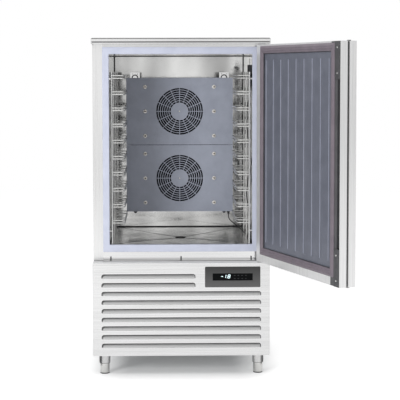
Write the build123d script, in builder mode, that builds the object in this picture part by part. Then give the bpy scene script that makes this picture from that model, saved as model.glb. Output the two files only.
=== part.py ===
from build123d import *
from math import cos, pi, radians, sin, tan
import os

# Upright ten-level blast chiller, in millimetres.
# +X is the cabinet's right seen from the front, +Y runs to the rear, +Z is up.
# The origin is on the floor, at the centre of the cabinet's footprint.

os.makedirs("parts", exist_ok=True)

# Cabinet envelope
width = 790.0
depth = 820.0
height = 1495.0
cap_height = 25.0
cap_bevel = 5.0
leg_height = 84.0
base_height = 415.0
sheet = 1.5
side_inset = 2.0
clearance = 0.3

# Door and its recess
door_thickness = 70.0
gasket_gap = 10.0
door_top_gap = 6.0
door_bottom_gap = 6.0
door_open_angle = 110.0
door_sheet = 1.2
hinge_from_end = 13.0
hinge_from_face = 27.0
edge_groove_width = 9.0
edge_groove_depth = 4.0
edge_groove_from_face = 30.0
rib_side_margin = 12.0
rib_pitch = 74.0
rib_width = 9.0
rib_height = 2.5
rib_end_margin = 24.0
liner_recess = 4.0
gasket_width = 32.0
liner_gap = 2.0
gasket_groove = 3.0
grip_depth = 18.0
grip_finger_width = 20.0
grip_finger_depth = 13.0
grip_end_length = 148.0
grip_end_height = 3.0

# Hinge hardware
hinge_plate = 4.0
hinge_ear_radius = 12.0
hinge_leg_height = 36.0
pin_radius = 5.0
pin_clearance = 0.05
bush_radius = 8.0
bush_depth = 22.0
bush_flange_radius = 11.0
plug_radius = 8.0
plug_height = 3.0

# Cold chamber
stile_width = 44.0
breaker_side_width = 29.0
breaker_top_width = 32.0
ceiling_drop = 45.0
back_insulation = 70.0
cavity_floor_rise = 73.0
floor_pan = 8.0
floor_fall = 5.0
front_trim = 14.0
breaker_proud = 2.0
rail_slope_height = 14.0
rail_slope_reach = 8.0
rail_return = 10.0
drain_radius = 17.0
drain_wall = 2.5
drain_flange = 24.0
drain_y = -40.0
drain_drop = 30.0
riser_inset = 38.0
riser_radius = 8.0
riser_hole = 13.0
riser_rise = 60.0
suction_offset = 5.0
liquid_x = 60.0

# Evaporator cover, fans and coil
coil_width = 460.0
coil_margin = 27.0
coil_depth = 95.0
coil_plate = 2.5
coil_fin_count = 24
coil_fin_gap = 11.0
coil_fin_depth = 36.0
bend_radius = 16.0
bend_tube = 6.0
bend_count = 6
cover_side_gap = 25.0
cover_floor_gap = 104.0
cover_ceiling_gap = 107.0
cover_from_back = 245.0
cover_seam = 2.0
cover_sheet = 2.0
cover_flange = 45.0
grille_radius = 112.0
grille_hub = 39.0
grille_rows = 7
grille_sectors = 16
grille_ring = 3.4
grille_spoke = 3.0
screw_inset = 90.0
screw_edge = 43.0
washer_radius = 8.5
washer_height = 3.0
screw_radius = 4.5
screw_height = 2.0
hanger_inset = 42.0
hanger_width = 46.0
hanger_height = 26.0
hanger_lap = 18.0
hanger_hole = 2.5
clip_radius = 16.0
clip_bar = 5.0
clip_thickness = 6.0
fan_radius = 100.0
fan_hub = 28.0
fan_blades = 5
fan_pitch = 28.0
fan_blade_sheet = 2.0
fan_root_sink = 4.0
fan_gap = 22.0
fan_hub_length = 34.0
fan_motor_radius = 36.0
fan_motor_length = 55.0
fan_shaft_radius = 4.0
strap_width = 32.0
strap_sheet = 3.0

# Tray racks
rack_headroom = 75.0
rack_pitch = 72.2
rack_first_level = 96.0
rack_wire = 2.5
rack_wire_gap = 12.0
rack_post = 4.0
rack_weld_gap = 0.1
rack_reach = 56.0
rack_wall_gap = 12.0
rack_front_gap = 20.0
rack_cover_gap = 13.0
rack_top_margin = 28.0
stud_radius = 6.0
stud_margin = 60.0

# Core probe on the right wall
probe_clip_depth = 16.0
probe_clip_width = 20.0
probe_clip_height = 32.0
probe_clip_slot = 4.0
probe_setback = 95.0
probe_ceiling_gap = 64.0
probe_grip_length = 88.0
probe_grip_radius = 6.5
probe_tail_radius = 3.2
needle_radius = 1.8
needle_length = 62.0
cable_radius = 2.25
gland_radius = 7.0
gland_length = 14.0
gland_inset = 20.0
gland_setback = 17.0

# Louvred front panel and controls
louvre_short_count = 2
louvre_pitch = 38.8
louvre_top_margin = 50.0
louvre_bottom_margin = 30.0
louvre_height = 18.0
louvre_depth = 17.0
louvre_radius = 9.0
louvre_side_margin = 40.0
louvre_bezel_gap = 44.0
louvre_sheet = 1.2
bezel_width = 246.0
bezel_height = 92.0
bezel_right_margin = 42.0
bezel_top_margin = 16.0
bezel_proud = 2.0
bezel_lip = 5.0
bezel_radius = 4.0
window_width = 178.0
window_height = 32.0
window_sheet = 2.0
control_box_depth = 34.0

# Machine compartment
chassis_rim = 25.0
condenser_width = 330.0
condenser_height = 340.0
condenser_depth = 60.0
condenser_side_gap = 46.5
condenser_setback = 38.0
condenser_fin_count = 18
condenser_fin_gap = 10.0
condenser_fin_depth = 22.0
shroud_sheet = 4.0
shroud_collar = 28.0
cfan_radius = 140.0
cfan_hub = 34.0
cfan_blades = 5
cfan_gap = 10.0
cfan_hub_length = 40.0
cmotor_radius = 45.0
cmotor_length = 70.0
cmotor_shaft = 5.0
compressor_offset = 135.0
compressor_y = 60.0
compressor_radius = 95.0
compressor_height = 300.0
compressor_dome = 42.0
plate_width = 236.0
plate_depth = 176.0
plate_thickness = 3.0
grommet_radius = 14.0
grommet_height = 20.0
terminal_box = 60.0
receiver_radius = 34.0
receiver_height = 200.0
drier_radius = 20.0
drier_length = 120.0
pipe_radius = 6.0
pipe_bend = 25.0
electrical_width = 190.0
electrical_depth = 250.0
electrical_height = 220.0
tray_width = 130.0
tray_depth = 170.0
tray_height = 50.0
vent_columns = 7
vent_rows = 4
vent_length = 80.0
vent_width = 8.0

# Legs
leg_side_inset = 50.0
leg_front_inset = 38.0
leg_rear_inset = 67.0
sleeve_radius = 24.5
sleeve_wall = 3.2
sleeve_height = 35.0
foot_overlap = 30.0
foot_bevel = 1.0

# Places worked out from the sizes above
front = -depth / 2
rear = depth / 2
body_half = width / 2 - side_inset
inner_half = body_half - sheet
cap_underside = height - cap_height
base_top = leg_height + base_height
frame_front = front + door_thickness + gasket_gap
breaker_half = body_half - stile_width
opening_half = breaker_half - breaker_side_width
cavity_width = 2 * opening_half
floor_z = base_top + cavity_floor_rise
ceiling_z = cap_underside - ceiling_drop
cavity_height = ceiling_z - floor_z
back_wall = rear - back_insulation
breaker_bottom = floor_z - breaker_top_width
breaker_top = ceiling_z + breaker_top_width
chamber_start = frame_front + front_trim
chamber_mid = (chamber_start + back_wall) / 2
chassis_top = leg_height + sheet
door_bottom = base_top + door_bottom_gap
door_top = cap_underside - door_top_gap
door_mid_z = (door_bottom + door_top) / 2
door_back = front + door_thickness
hinge_x = body_half - hinge_from_end
hinge_y = front + hinge_from_face
hinge_axis = Axis((hinge_x, hinge_y, 0), (0, 0, 1))
cover_y = back_wall - cover_from_back
cover_back = cover_y + cover_sheet
cover_width = coil_width + 2 * cover_side_gap
cover_height = cavity_height - cover_floor_gap - cover_ceiling_gap
cover_bottom = floor_z + cover_floor_gap
cover_top = cover_bottom + cover_height
cover_centre_z = (cover_bottom + cover_top) / 2
coil_height = cover_height - coil_margin
coil_bottom = cover_centre_z - coil_height / 2
coil_back = back_wall - front_trim
screw_x = cover_width / 2 - screw_inset
hanger_x = cover_width / 2 - hanger_inset
gland_x = cover_width / 2 - gland_inset
condenser_front = front + condenser_setback
condenser_x = -inner_half + condenser_side_gap + condenser_width / 2
compressor_x = liquid_x + compressor_offset
suction_x = compressor_x - suction_offset
riser_y = rear - riser_inset
riser_top = coil_bottom + riser_rise
leg_x = body_half - leg_side_inset


def block(x, y, z, mode=Mode.ADD):
    """A rectangular piece between two limits on each axis."""
    with Locations(((x[0] + x[1]) / 2, (y[0] + y[1]) / 2, (z[0] + z[1]) / 2)):
        Box(x[1] - x[0], y[1] - y[0], z[1] - z[0], mode=mode)


def facing_front(x, y, z):
    """A sketch plane that faces the front, with its own y axis pointing up."""
    return Plane(origin=(x, y, z), x_dir=(1, 0, 0), z_dir=(0, -1, 0))


def pipe(points, radius, bend):
    """A tube of six sides along straight runs joined by bends."""
    with BuildPart() as tube:
        with BuildLine() as route:
            FilletPolyline(*points, radius=bend)
        with BuildSketch(Plane(origin=route.line @ 0, z_dir=route.line % 0)):
            RegularPolygon(radius, 6)
        sweep(path=route.line)
    return tube.part


def finned_block(x, y, z, fins, gap, slot):
    """A heat exchanger core: fins stand between slots cut into both faces."""
    with BuildPart() as core:
        with BuildSketch(Plane.XY.offset(z[0])):
            with Locations(((x[0] + x[1]) / 2, (y[0] + y[1]) / 2)):
                Rectangle(x[1] - x[0], y[1] - y[0])
            for face, turn in ((y[0], Align.MIN), (y[1], Align.MAX)):
                with Locations(((x[0] + x[1]) / 2, face)):
                    with GridLocations((x[1] - x[0]) / fins, 0, fins - 1, 1):
                        Rectangle(gap, slot, align=(Align.CENTER, turn), mode=Mode.SUBTRACT)
        extrude(amount=z[1] - z[0])
    return core.part


def fan_rotor(x, y, z, radius, hub, hub_length, blades, bore):
    """An axial rotor on the Y axis: pitched blades around a bored hub that starts at y."""
    mid = y + hub_length / 2
    reach = hub_length / 2 / sin(radians(fan_pitch))
    with BuildPart() as rotor:
        with BuildSketch(facing_front(x, y, z)):
            RegularPolygon(hub, 20)
        extrude(amount=-hub_length)
        for number in range(blades):
            turn = 2 * pi * number / blades
            radial = Vector(cos(turn), 0, sin(turn))
            around = Vector(-sin(turn), 0, cos(turn))
            normal = Vector(0, 1, 0) * cos(radians(fan_pitch)) + around * sin(radians(fan_pitch))
            with BuildSketch(Plane(origin=(x, mid, z), x_dir=radial, z_dir=normal)):
                with BuildLine():
                    Polyline(
                        (hub - fan_root_sink, -reach * 0.45),
                        (hub - fan_root_sink, reach * 0.45),
                        (radius * 0.86, reach * 0.95),
                        (radius * 0.97, reach * 0.4),
                        (radius, -reach * 0.3),
                        (radius * 0.86, -reach * 0.95),
                        close=True,
                    )
                make_face()
            extrude(amount=fan_blade_sheet / 2, both=True)
        with BuildSketch(facing_front(x, y, z)):
            Circle(bore)
        extrude(amount=-hub_length, mode=Mode.SUBTRACT)
    return rotor.part


# Side panels: one folded sheet each, with the stile that frames the door's recess
with BuildPart() as side_panel_left:
    with BuildSketch(Plane.XY.offset(base_top)):
        with BuildLine():
            Polyline((-breaker_half, frame_front), (-body_half, frame_front), (-body_half, rear))
            offset(amount=sheet, side=Side.RIGHT)
        make_face()
    extrude(amount=cap_underside - base_top)
    block((-body_half, -inner_half), (frame_front, rear), (leg_height, base_top))

with BuildPart() as side_panel_right:
    mirror(side_panel_left.part, about=Plane.YZ)

# Back sheets: plain above, with air slots behind the machine compartment
with BuildPart() as rear_panel:
    block((-inner_half, inner_half), (rear - sheet, rear), (base_top, cap_underside))

with BuildPart() as rear_vent_panel:
    block((-inner_half, inner_half), (rear - sheet, rear), (leg_height, base_top))
    with BuildSketch(facing_front(0, rear, leg_height + base_height / 2)):
        with GridLocations(vent_length + vent_width, base_height / (vent_rows + 2), vent_columns, vent_rows):
            Rectangle(vent_length, vent_width)
    extrude(amount=sheet, mode=Mode.SUBTRACT)

# Top cap: an inverted tray with bevelled edges
with BuildPart() as top_cap:
    with BuildSketch(Plane.XY.offset(cap_underside)):
        Rectangle(width, depth)
    extrude(amount=cap_height)
    chamfer(top_cap.faces().sort_by(Axis.Z)[-1].edges(), cap_bevel)
    offset(amount=-sheet, openings=top_cap.faces().sort_by(Axis.Z)[0])

# The drain goes through the chamber's floor; two refrigerant risers climb in the insulation behind it
riser_columns = (suction_x, liquid_x)
drain_hole = drain_radius + drain_wall


def drain_cut(top, drop):
    """Cut the drain's hole downwards from a level."""
    with BuildSketch(Plane.XY.offset(top)) as hole:
        with Locations((0, drain_y)):
            Circle(drain_hole)
    extrude(hole.sketch, amount=-drop, mode=Mode.SUBTRACT)


with BuildPart() as deck_plate:
    block((-inner_half, inner_half), (frame_front, rear - sheet), (base_top - sheet, base_top))
    drain_cut(base_top, sheet)
    with BuildSketch(Plane.XY.offset(base_top)):
        with Locations(*[(x, riser_y) for x in riser_columns]):
            RegularPolygon(riser_hole, 12)
    extrude(amount=-sheet, mode=Mode.SUBTRACT)

with BuildPart() as cabinet_foam:
    block((-inner_half, inner_half), (chamber_start, rear - sheet), (base_top, height - sheet))
    chamfer(cabinet_foam.faces().sort_by(Axis.Z)[-1].edges(), cap_bevel)
    block(
        (-opening_half - sheet, opening_half + sheet),
        (chamber_start, back_wall + sheet),
        (floor_z - floor_pan - sheet, ceiling_z + sheet),
        Mode.SUBTRACT,
    )
    drain_cut(floor_z, floor_z - base_top)
    for x in riser_columns:
        block(
            (x - riser_hole, x + riser_hole),
            (back_wall, riser_y + riser_hole),
            (base_top, riser_top + riser_hole),
            Mode.SUBTRACT,
        )

# Inner liner: a folded box, open to the front
with BuildPart() as cavity_liner:
    block(
        (-opening_half - sheet, opening_half + sheet),
        (chamber_start, back_wall + sheet),
        (floor_z - floor_pan - sheet, ceiling_z + sheet),
    )
    offset(amount=-sheet, openings=cavity_liner.faces().sort_by(Axis.Y)[0])
    drain_cut(floor_z, floor_pan + sheet)
    with BuildSketch(facing_front(0, back_wall, riser_top)):
        with Locations(*[(x, 0) for x in riser_columns]):
            RegularPolygon(riser_hole, 12)
    extrude(amount=-sheet, mode=Mode.SUBTRACT)

# Floor pan: four slopes meet at the drain
with BuildPart() as cavity_floor:
    block((-opening_half, opening_half), (chamber_start, back_wall), (floor_z - floor_pan, floor_z))
    with BuildSketch(Plane.XY.offset(floor_z)):
        with Locations((0, chamber_mid)):
            Rectangle(cavity_width - 2 * front_trim, back_wall - chamber_start - 2 * front_trim)
    with BuildSketch(Plane.XY.offset(floor_z - floor_fall)):
        with Locations((0, drain_y)):
            Rectangle(2 * drain_flange, 2 * drain_flange)
    loft(ruled=True, mode=Mode.SUBTRACT)
    drain_cut(floor_z, floor_pan)

drain_end = chassis_top + tray_height - drain_drop
with BuildPart() as floor_drain:
    with BuildSketch(Plane.XY.offset(floor_z - floor_fall)):
        with Locations((0, drain_y)):
            RegularPolygon(drain_flange, 24)
    extrude(amount=drain_wall)
    with BuildSketch(Plane.XY.offset(floor_z - floor_fall)):
        with Locations((0, drain_y)):
            Circle(drain_hole)
    extrude(amount=-(floor_z - floor_fall - drain_end))
    with BuildSketch(Plane.XY.offset(floor_z)):
        with Locations((0, drain_y)):
            Circle(drain_radius)
    extrude(amount=-(floor_z - drain_end), mode=Mode.SUBTRACT)

# Thermal breaker round the opening, and the rails above and below it
with BuildPart() as breaker_frame:
    with BuildSketch(facing_front(0, frame_front - breaker_proud, (breaker_bottom + breaker_top) / 2)):
        Rectangle(2 * breaker_half, breaker_top - breaker_bottom)
        Rectangle(cavity_width, cavity_height, mode=Mode.SUBTRACT)
    extrude(amount=-(front_trim + breaker_proud))
    chamfer(breaker_frame.faces().sort_by(Axis.Y)[0].edges(), breaker_proud / 2)

with BuildPart() as frame_rails:
    with BuildSketch(Plane.YZ.offset(-breaker_half)):
        with BuildLine():
            Polyline(
                (frame_front + rail_return, cap_underside),
                (frame_front, cap_underside),
                (frame_front, breaker_top),
            )
            offset(amount=sheet, side=Side.LEFT)
        make_face()
        with BuildLine():
            Polyline(
                (frame_front, breaker_bottom),
                (frame_front, base_top + rail_slope_height),
                (frame_front - rail_slope_reach, base_top + sheet),
                (frame_front - rail_slope_reach, base_top),
            )
            offset(amount=sheet, side=Side.LEFT)
        make_face()
    extrude(amount=2 * breaker_half)

# Evaporator cover: two folded panels, each with a punched ring grille for its fan
panel_height = cover_height / 2
fan_levels = {
    "upper": cover_centre_z + panel_height / 2,
    "lower": cover_centre_z - panel_height / 2,
}
row_pitch = (grille_radius - grille_hub) / grille_rows


def fan_cover(fan_z, seam_z, folded_z):
    """One cover panel, from the seam to its third flange, with the grille round the fan's axis."""
    inside_z = folded_z + (cover_sheet if folded_z < seam_z else -cover_sheet)
    facets = 2 * grille_sectors
    with BuildPart() as panel:
        with BuildSketch(facing_front(0, cover_y, (seam_z + folded_z) / 2)):
            Rectangle(cover_width, abs(seam_z - folded_z))
        extrude(amount=-cover_flange)
        with BuildSketch(facing_front(0, cover_back, (seam_z + inside_z) / 2)):
            Rectangle(cover_width - 2 * cover_sheet, abs(seam_z - inside_z))
        extrude(amount=-cover_flange, mode=Mode.SUBTRACT)
        with BuildSketch(facing_front(0, cover_y, fan_z)):
            for row in range(grille_rows):
                outer = grille_radius - row * row_pitch
                RegularPolygon(outer, facets)
                RegularPolygon(outer - row_pitch + grille_ring, facets, mode=Mode.SUBTRACT)
            with PolarLocations(0, grille_sectors // 2, angular_range=180):
                Rectangle(2 * grille_radius + grille_ring, grille_spoke, mode=Mode.SUBTRACT)
        extrude(amount=-cover_sheet, mode=Mode.SUBTRACT)
    return panel.part


evaporator_cover_upper = fan_cover(fan_levels["upper"], cover_centre_z + cover_seam / 2, cover_top)
evaporator_cover_lower = fan_cover(fan_levels["lower"], cover_centre_z - cover_seam / 2, cover_bottom)

screw_z = panel_height / 2 - screw_edge
screw_places = [
    (side * screw_x, level + step * screw_z)
    for level in fan_levels.values()
    for side in (-1, 1)
    for step in (-1, 0, 1)
]

with BuildPart() as cover_screws:
    with BuildSketch(facing_front(0, cover_y, 0)):
        with Locations(*screw_places):
            RegularPolygon(washer_radius, 12)
    extrude(amount=washer_height)
    with BuildSketch(facing_front(0, cover_y - washer_height, 0)):
        with Locations(*screw_places):
            RegularPolygon(screw_radius, 6)
    extrude(amount=screw_height)

# Fixings along the cover's top and bottom edges
with BuildPart() as cover_hangers:
    with BuildSketch(facing_front(0, cover_back, cover_top)):
        with Locations((-hanger_x, 0), (hanger_x, 0)):
            Rectangle(hanger_width, hanger_height, align=(Align.CENTER, Align.MIN))
            with Locations((0, hanger_height * 0.7)):
                with GridLocations(hanger_width / 2, 0, 2, 1):
                    RegularPolygon(hanger_hole, 8, mode=Mode.SUBTRACT)
    extrude(amount=cover_sheet)
    with BuildSketch(Plane.XY.offset(cover_top)):
        with Locations((-hanger_x, cover_y), (hanger_x, cover_y)):
            Rectangle(hanger_width, hanger_lap, align=(Align.CENTER, Align.MIN))
    extrude(amount=cover_sheet)

with BuildPart() as cover_clips:
    with BuildSketch(facing_front(0, cover_y, cover_top)):
        with Locations((-hanger_x, 0), (hanger_x, 0)):
            RegularPolygon(clip_radius, 20)
            RegularPolygon(clip_radius - clip_bar, 20, mode=Mode.SUBTRACT)
            Rectangle(2 * clip_radius, clip_radius, align=(Align.CENTER, Align.MAX), mode=Mode.SUBTRACT)
    extrude(amount=clip_thickness)
    with BuildSketch(facing_front(0, cover_y + clip_thickness, cover_bottom)):
        with Locations((-hanger_x, 0), (hanger_x, 0)):
            RegularPolygon(clip_radius / 2, 12)
            Rectangle(clip_radius, clip_radius / 2, align=(Align.CENTER, Align.MIN), mode=Mode.SUBTRACT)
    extrude(amount=2 * clip_thickness)

# Evaporator fans: motor on a strap behind each grille, rotor on the motor's shaft
fan_y = cover_back + fan_gap
fan_motor_y = fan_y + fan_hub_length + clearance
strap_y = fan_motor_y + fan_motor_length

with BuildPart() as fan_motors:
    for level in fan_levels.values():
        with BuildSketch(facing_front(0, fan_motor_y, level)):
            Circle(fan_motor_radius)
        extrude(amount=-fan_motor_length)
        with BuildSketch(facing_front(0, fan_motor_y, level)):
            Circle(fan_shaft_radius)
        extrude(amount=fan_hub_length)
    chamfer(fan_motors.edges().filter_by(GeomType.CIRCLE).group_by(Axis.Y)[-1], fan_motor_radius / 6)

with BuildPart() as fan_straps:
    for level in fan_levels.values():
        with BuildSketch(Plane.XY.offset(level - strap_width / 2)):
            with BuildLine():
                Polyline(
                    (-screw_x - strap_width / 2, cover_back),
                    (-screw_x + strap_width / 2, cover_back),
                    (-screw_x + strap_width / 2, strap_y),
                    (screw_x - strap_width / 2, strap_y),
                    (screw_x - strap_width / 2, cover_back),
                    (screw_x + strap_width / 2, cover_back),
                )
                offset(amount=strap_sheet, side=Side.LEFT)
            make_face()
        extrude(amount=strap_width)

fan_rotors = {
    "fan_rotor_" + place: fan_rotor(
        0, fan_y, level, fan_radius, fan_hub, fan_hub_length, fan_blades, fan_shaft_radius + pin_clearance
    )
    for place, level in fan_levels.items()
}

# Evaporator coil between two side plates that reach from the cover to the back wall
coil_fins = finned_block(
    (-coil_width / 2, coil_width / 2),
    (coil_back - coil_depth, coil_back),
    (coil_bottom, coil_bottom + coil_height),
    coil_fin_count,
    coil_fin_gap,
    coil_fin_depth,
)

with BuildPart() as evaporator_side_plates:
    for side in (-1, 1):
        edge = side * (coil_width / 2 + coil_plate / 2)
        block(
            (edge - coil_plate / 2, edge + coil_plate / 2),
            (cover_back, back_wall),
            (coil_bottom, coil_bottom + coil_height),
        )

with BuildPart() as evaporator_coil:
    add(coil_fins)
    bend_step = coil_height / bend_count
    bend_x = coil_width / 2 + coil_plate
    bend_y = coil_back - coil_depth / 2
    bend_corner = bend_radius - bend_tube
    for number in range(bend_count):
        bend_z = coil_bottom + (number + 0.5) * bend_step
        with BuildLine() as bend:
            Polyline(
                (bend_x, bend_y, bend_z + bend_radius),
                (bend_x + bend_tube, bend_y, bend_z + bend_radius),
                (bend_x + bend_radius, bend_y, bend_z + bend_radius - bend_corner),
                (bend_x + bend_radius, bend_y, bend_z - bend_radius + bend_corner),
                (bend_x + bend_tube, bend_y, bend_z - bend_radius),
                (bend_x, bend_y, bend_z - bend_radius),
            )
        with BuildSketch(Plane(origin=bend.line @ 0, z_dir=(1, 0, 0))):
            RegularPolygon(bend_tube, 6)
        sweep(path=bend.line, transition=Transition.RIGHT)

# Tray racks: wire runners in pairs, ten levels a side, welded to three posts
rack_front = frame_front + rack_front_gap
rack_rear = cover_y - rack_cover_gap
rack_middle = (rack_front + rack_rear) / 2
rack_x = opening_half - rack_wall_gap
rack_base = floor_z + clearance
rack_room = cavity_height - rack_first_level - rack_top_margin - rack_headroom
rack_levels = int(rack_room / rack_pitch) + 1
rack_top = floor_z + rack_first_level + (rack_levels - 1) * rack_pitch + rack_top_margin

rack_weld_x = rack_x - rack_post - rack_weld_gap
rack_heights = [floor_z + rack_first_level + level * rack_pitch for level in range(rack_levels)]

with BuildPart() as tray_rack_right:
    with BuildSketch(Plane.XY.offset(rack_base)):
        with Locations((rack_x, rack_front), (rack_x, rack_middle), (rack_x, rack_rear)):
            RegularPolygon(rack_post, 8)
    extrude(amount=rack_top - rack_base)
    for wire_z in rack_heights:
        for lift in (0, rack_wire_gap):
            with BuildLine() as runner:
                Polyline(
                    (rack_weld_x, rack_front, wire_z + lift),
                    (rack_x - rack_reach, rack_front, wire_z + lift),
                    (rack_x - rack_reach, rack_rear, wire_z + lift),
                    (rack_weld_x, rack_rear, wire_z + lift),
                )
            with BuildSketch(Plane(origin=runner.line @ 0, z_dir=runner.line % 0)):
                RegularPolygon(rack_wire, 6)
            sweep(path=runner.line, transition=Transition.RIGHT)
    across = Plane(origin=(rack_weld_x, rack_middle, 0), x_dir=(0, -1, 0), z_dir=(-1, 0, 0))
    with BuildSketch(across):
        with Locations(*[(0, wire_z) for wire_z in rack_heights]):
            RegularPolygon(rack_wire, 6)
    extrude(amount=rack_reach - rack_post - rack_wire - 2 * rack_weld_gap)

with BuildPart() as tray_rack_left:
    mirror(tray_rack_right.part, about=Plane.YZ)

with BuildPart() as rack_studs:
    for side in (-1, 1):
        wall = Plane(origin=(side * opening_half, 0, 0), x_dir=(0, 1, 0), z_dir=(-side, 0, 0))
        with BuildSketch(wall):
            for y in (rack_front, rack_rear):
                for z in (floor_z + stud_margin, rack_top - stud_margin / 2):
                    with Locations(tuple(wall.to_local_coords(Vector(side * opening_half, y, z)))[:2]):
                        RegularPolygon(stud_radius, 12)
        extrude(amount=rack_wall_gap - rack_post - clearance / 2)

# Core probe: a spring clip on the right wall holds the needle, the grip hangs below
probe_x = opening_half - probe_grip_radius - clearance
probe_y = frame_front + probe_setback
probe_clip_z = ceiling_z - probe_ceiling_gap
grip_top = probe_clip_z - probe_clip_height / 2 - clearance
grip_bottom = grip_top - probe_grip_length

with BuildPart() as probe_clip:
    block(
        (opening_half - probe_clip_depth, opening_half),
        (probe_y - probe_clip_width / 2, probe_y + probe_clip_width / 2),
        (probe_clip_z - probe_clip_height / 2, probe_clip_z + probe_clip_height / 2),
    )
    chamfer(probe_clip.edges().filter_by(Axis.Z).group_by(Axis.X)[0], probe_clip_width / 5)
    block(
        (opening_half - probe_clip_depth, probe_x),
        (probe_y - probe_clip_slot / 2, probe_y + probe_clip_slot / 2),
        (probe_clip_z - probe_clip_height / 2, probe_clip_z + probe_clip_height / 2),
        Mode.SUBTRACT,
    )
    with BuildSketch(Plane.XY.offset(probe_clip_z - probe_clip_height / 2)):
        with Locations((probe_x, probe_y)):
            Circle(probe_clip_slot / 2)
    extrude(amount=probe_clip_height, mode=Mode.SUBTRACT)

with BuildPart() as core_probe:
    with BuildSketch(Plane.XZ.offset(-probe_y)):
        with BuildLine():
            Polyline(
                (probe_x, grip_bottom),
                (probe_x + probe_tail_radius, grip_bottom),
                (probe_x + probe_grip_radius, grip_bottom + probe_grip_length * 0.3),
                (probe_x + probe_grip_radius, grip_top),
                (probe_x + needle_radius, grip_top),
                (probe_x + needle_radius, grip_top + needle_length - 2 * needle_radius),
                (probe_x, grip_top + needle_length),
                close=True,
            )
        make_face()
    revolve(axis=Axis((probe_x, probe_y, 0), (0, 0, 1)))

# The probe's cable hangs behind the rack, crosses the floor and rises to the gland under the cover
gland_y = cover_y + gland_setback
with BuildPart() as cable_gland:
    with BuildSketch(Plane.XY.offset(cover_bottom)):
        with Locations((gland_x, gland_y)):
            RegularPolygon(gland_radius, 6)
    extrude(amount=-gland_length / 2)
    with BuildSketch(Plane.XY.offset(cover_bottom - gland_length / 2)):
        with Locations((gland_x, gland_y)):
            Circle(gland_radius * 0.7)
    extrude(amount=-gland_length / 2)

cable_start = (probe_x, probe_y, grip_bottom)
cable_end = (gland_x, gland_y, cover_bottom - gland_length)
cable_points = [
    cable_start,
    (probe_x, probe_y, 1231),
    (314.6, -223, 1194),
    (316.0, -190, 1154),
    (315.4, -150, 1112),
    (316.2, -131, 1060),
    (315.6, -156, 1010),
    (316.2, -204, 974),
    (315.4, -238, 927),
    (316.2, -236, 870),
    (315.6, -200, 826),
    (316.2, -151, 794),
    (315.4, -120, 748),
    (316.0, -139, 700),
    (315.4, -186, 670),
    (316.0, -236.6, 650),
    (315.6, -262, 622),
    (315.6, -264.7, 602.8),
    (315.4, -256.5, 585.2),
    (315.2, -240.2, 574.9),
    (315.6, -206, 574.7),
    (315.0, -152, 574.8),
    (316.2, -98, 574.7),
    (315.2, -50, 574.8),
    (311.5, 2, 575.4),
    (304.0, 50, 580.5),
    (290.0, 88, 594),
    (268.0, 106, 611),
    (247.0, 112.5, 627),
    (gland_x, gland_y, 642),
    cable_end,
]


def cord_radii(points):
    """Each bend's radius: 0.45 of its shorter run, over the tangent of half the turn."""
    radii = []
    for before, here, after in zip(points, points[1:], points[2:]):
        arrive = Vector(*here) - Vector(*before)
        leave = Vector(*after) - Vector(*here)
        turn = radians(arrive.get_angle(leave))
        radii.append(0.45 * min(arrive.length, leave.length) / tan(turn / 2))
    return radii


cable_bends = cord_radii(cable_points)
probe_cable = pipe(cable_points, cable_radius, cable_bends)

# Louvred front panel: a tray open at the back and below, with pressed louvres
louvre_half = body_half - louvre_side_margin
louvre_room = base_height - louvre_top_margin - louvre_height - louvre_bottom_margin
louvre_count = int(louvre_room / louvre_pitch) + 1
bezel_x = body_half - bezel_right_margin - bezel_width / 2
bezel_z = base_top - bezel_top_margin - bezel_height / 2
louvre_short_end = bezel_x - bezel_width / 2 - louvre_bezel_gap


def louvre_spans():
    """Each louvre's left end, right end and upper edge."""
    spans = []
    for number in range(louvre_count):
        right = louvre_short_end if number < louvre_short_count else louvre_half
        spans.append((-louvre_half, right, base_top - louvre_top_margin - number * louvre_pitch))
    return spans


def louvre_pocket(left, right, top, grow):
    """The wedge under one louvre's upper edge, grown outwards by the sheet for its outside."""
    lean = Plane(
        origin=(0, front, top - louvre_height),
        x_dir=(1, 0, 0),
        z_dir=(0, -louvre_height, louvre_depth),
    ).offset(-grow)
    with BuildPart() as wedge:
        with BuildSketch(facing_front((left + right) / 2, front, top - louvre_height)):
            with BuildLine():
                half = (right - left) / 2 + grow
                round_top = louvre_radius + grow
                FilletPolyline(
                    (half, -grow),
                    (half, louvre_height + grow),
                    (-half, louvre_height + grow),
                    (-half, -grow),
                    radius=round_top,
                )
                Line((-half, -grow), (half, -grow))
            make_face()
        extrude(amount=-louvre_depth - grow)
        split(bisect_by=lean, keep=Keep.TOP)
    return wedge.part


louvre_shells = [louvre_pocket(*span, louvre_sheet) for span in louvre_spans()]
louvre_hollows = [louvre_pocket(*span, 0) for span in louvre_spans()]

with BuildPart() as base_front_panel:
    block((-body_half, body_half), (front, frame_front), (leg_height, base_top))
    back_face = base_front_panel.faces().sort_by(Axis.Y)[-1]
    bottom_face = base_front_panel.faces().sort_by(Axis.Z)[0]
    offset(amount=-sheet, openings=[back_face, bottom_face], kind=Kind.INTERSECTION)
    add(louvre_shells)
    add(louvre_hollows, mode=Mode.SUBTRACT)
    for left, right, top in louvre_spans():
        block(
            (left + louvre_radius, right - louvre_radius),
            (front + sheet, front + louvre_depth),
            (top - louvre_sheet, top + 2 * louvre_sheet),
            Mode.SUBTRACT,
        )
    with BuildSketch(facing_front(bezel_x, front, bezel_z)):
        Rectangle(bezel_width - 2 * bezel_lip, bezel_height - 2 * bezel_lip)
    extrude(amount=-sheet, mode=Mode.SUBTRACT)

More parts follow.
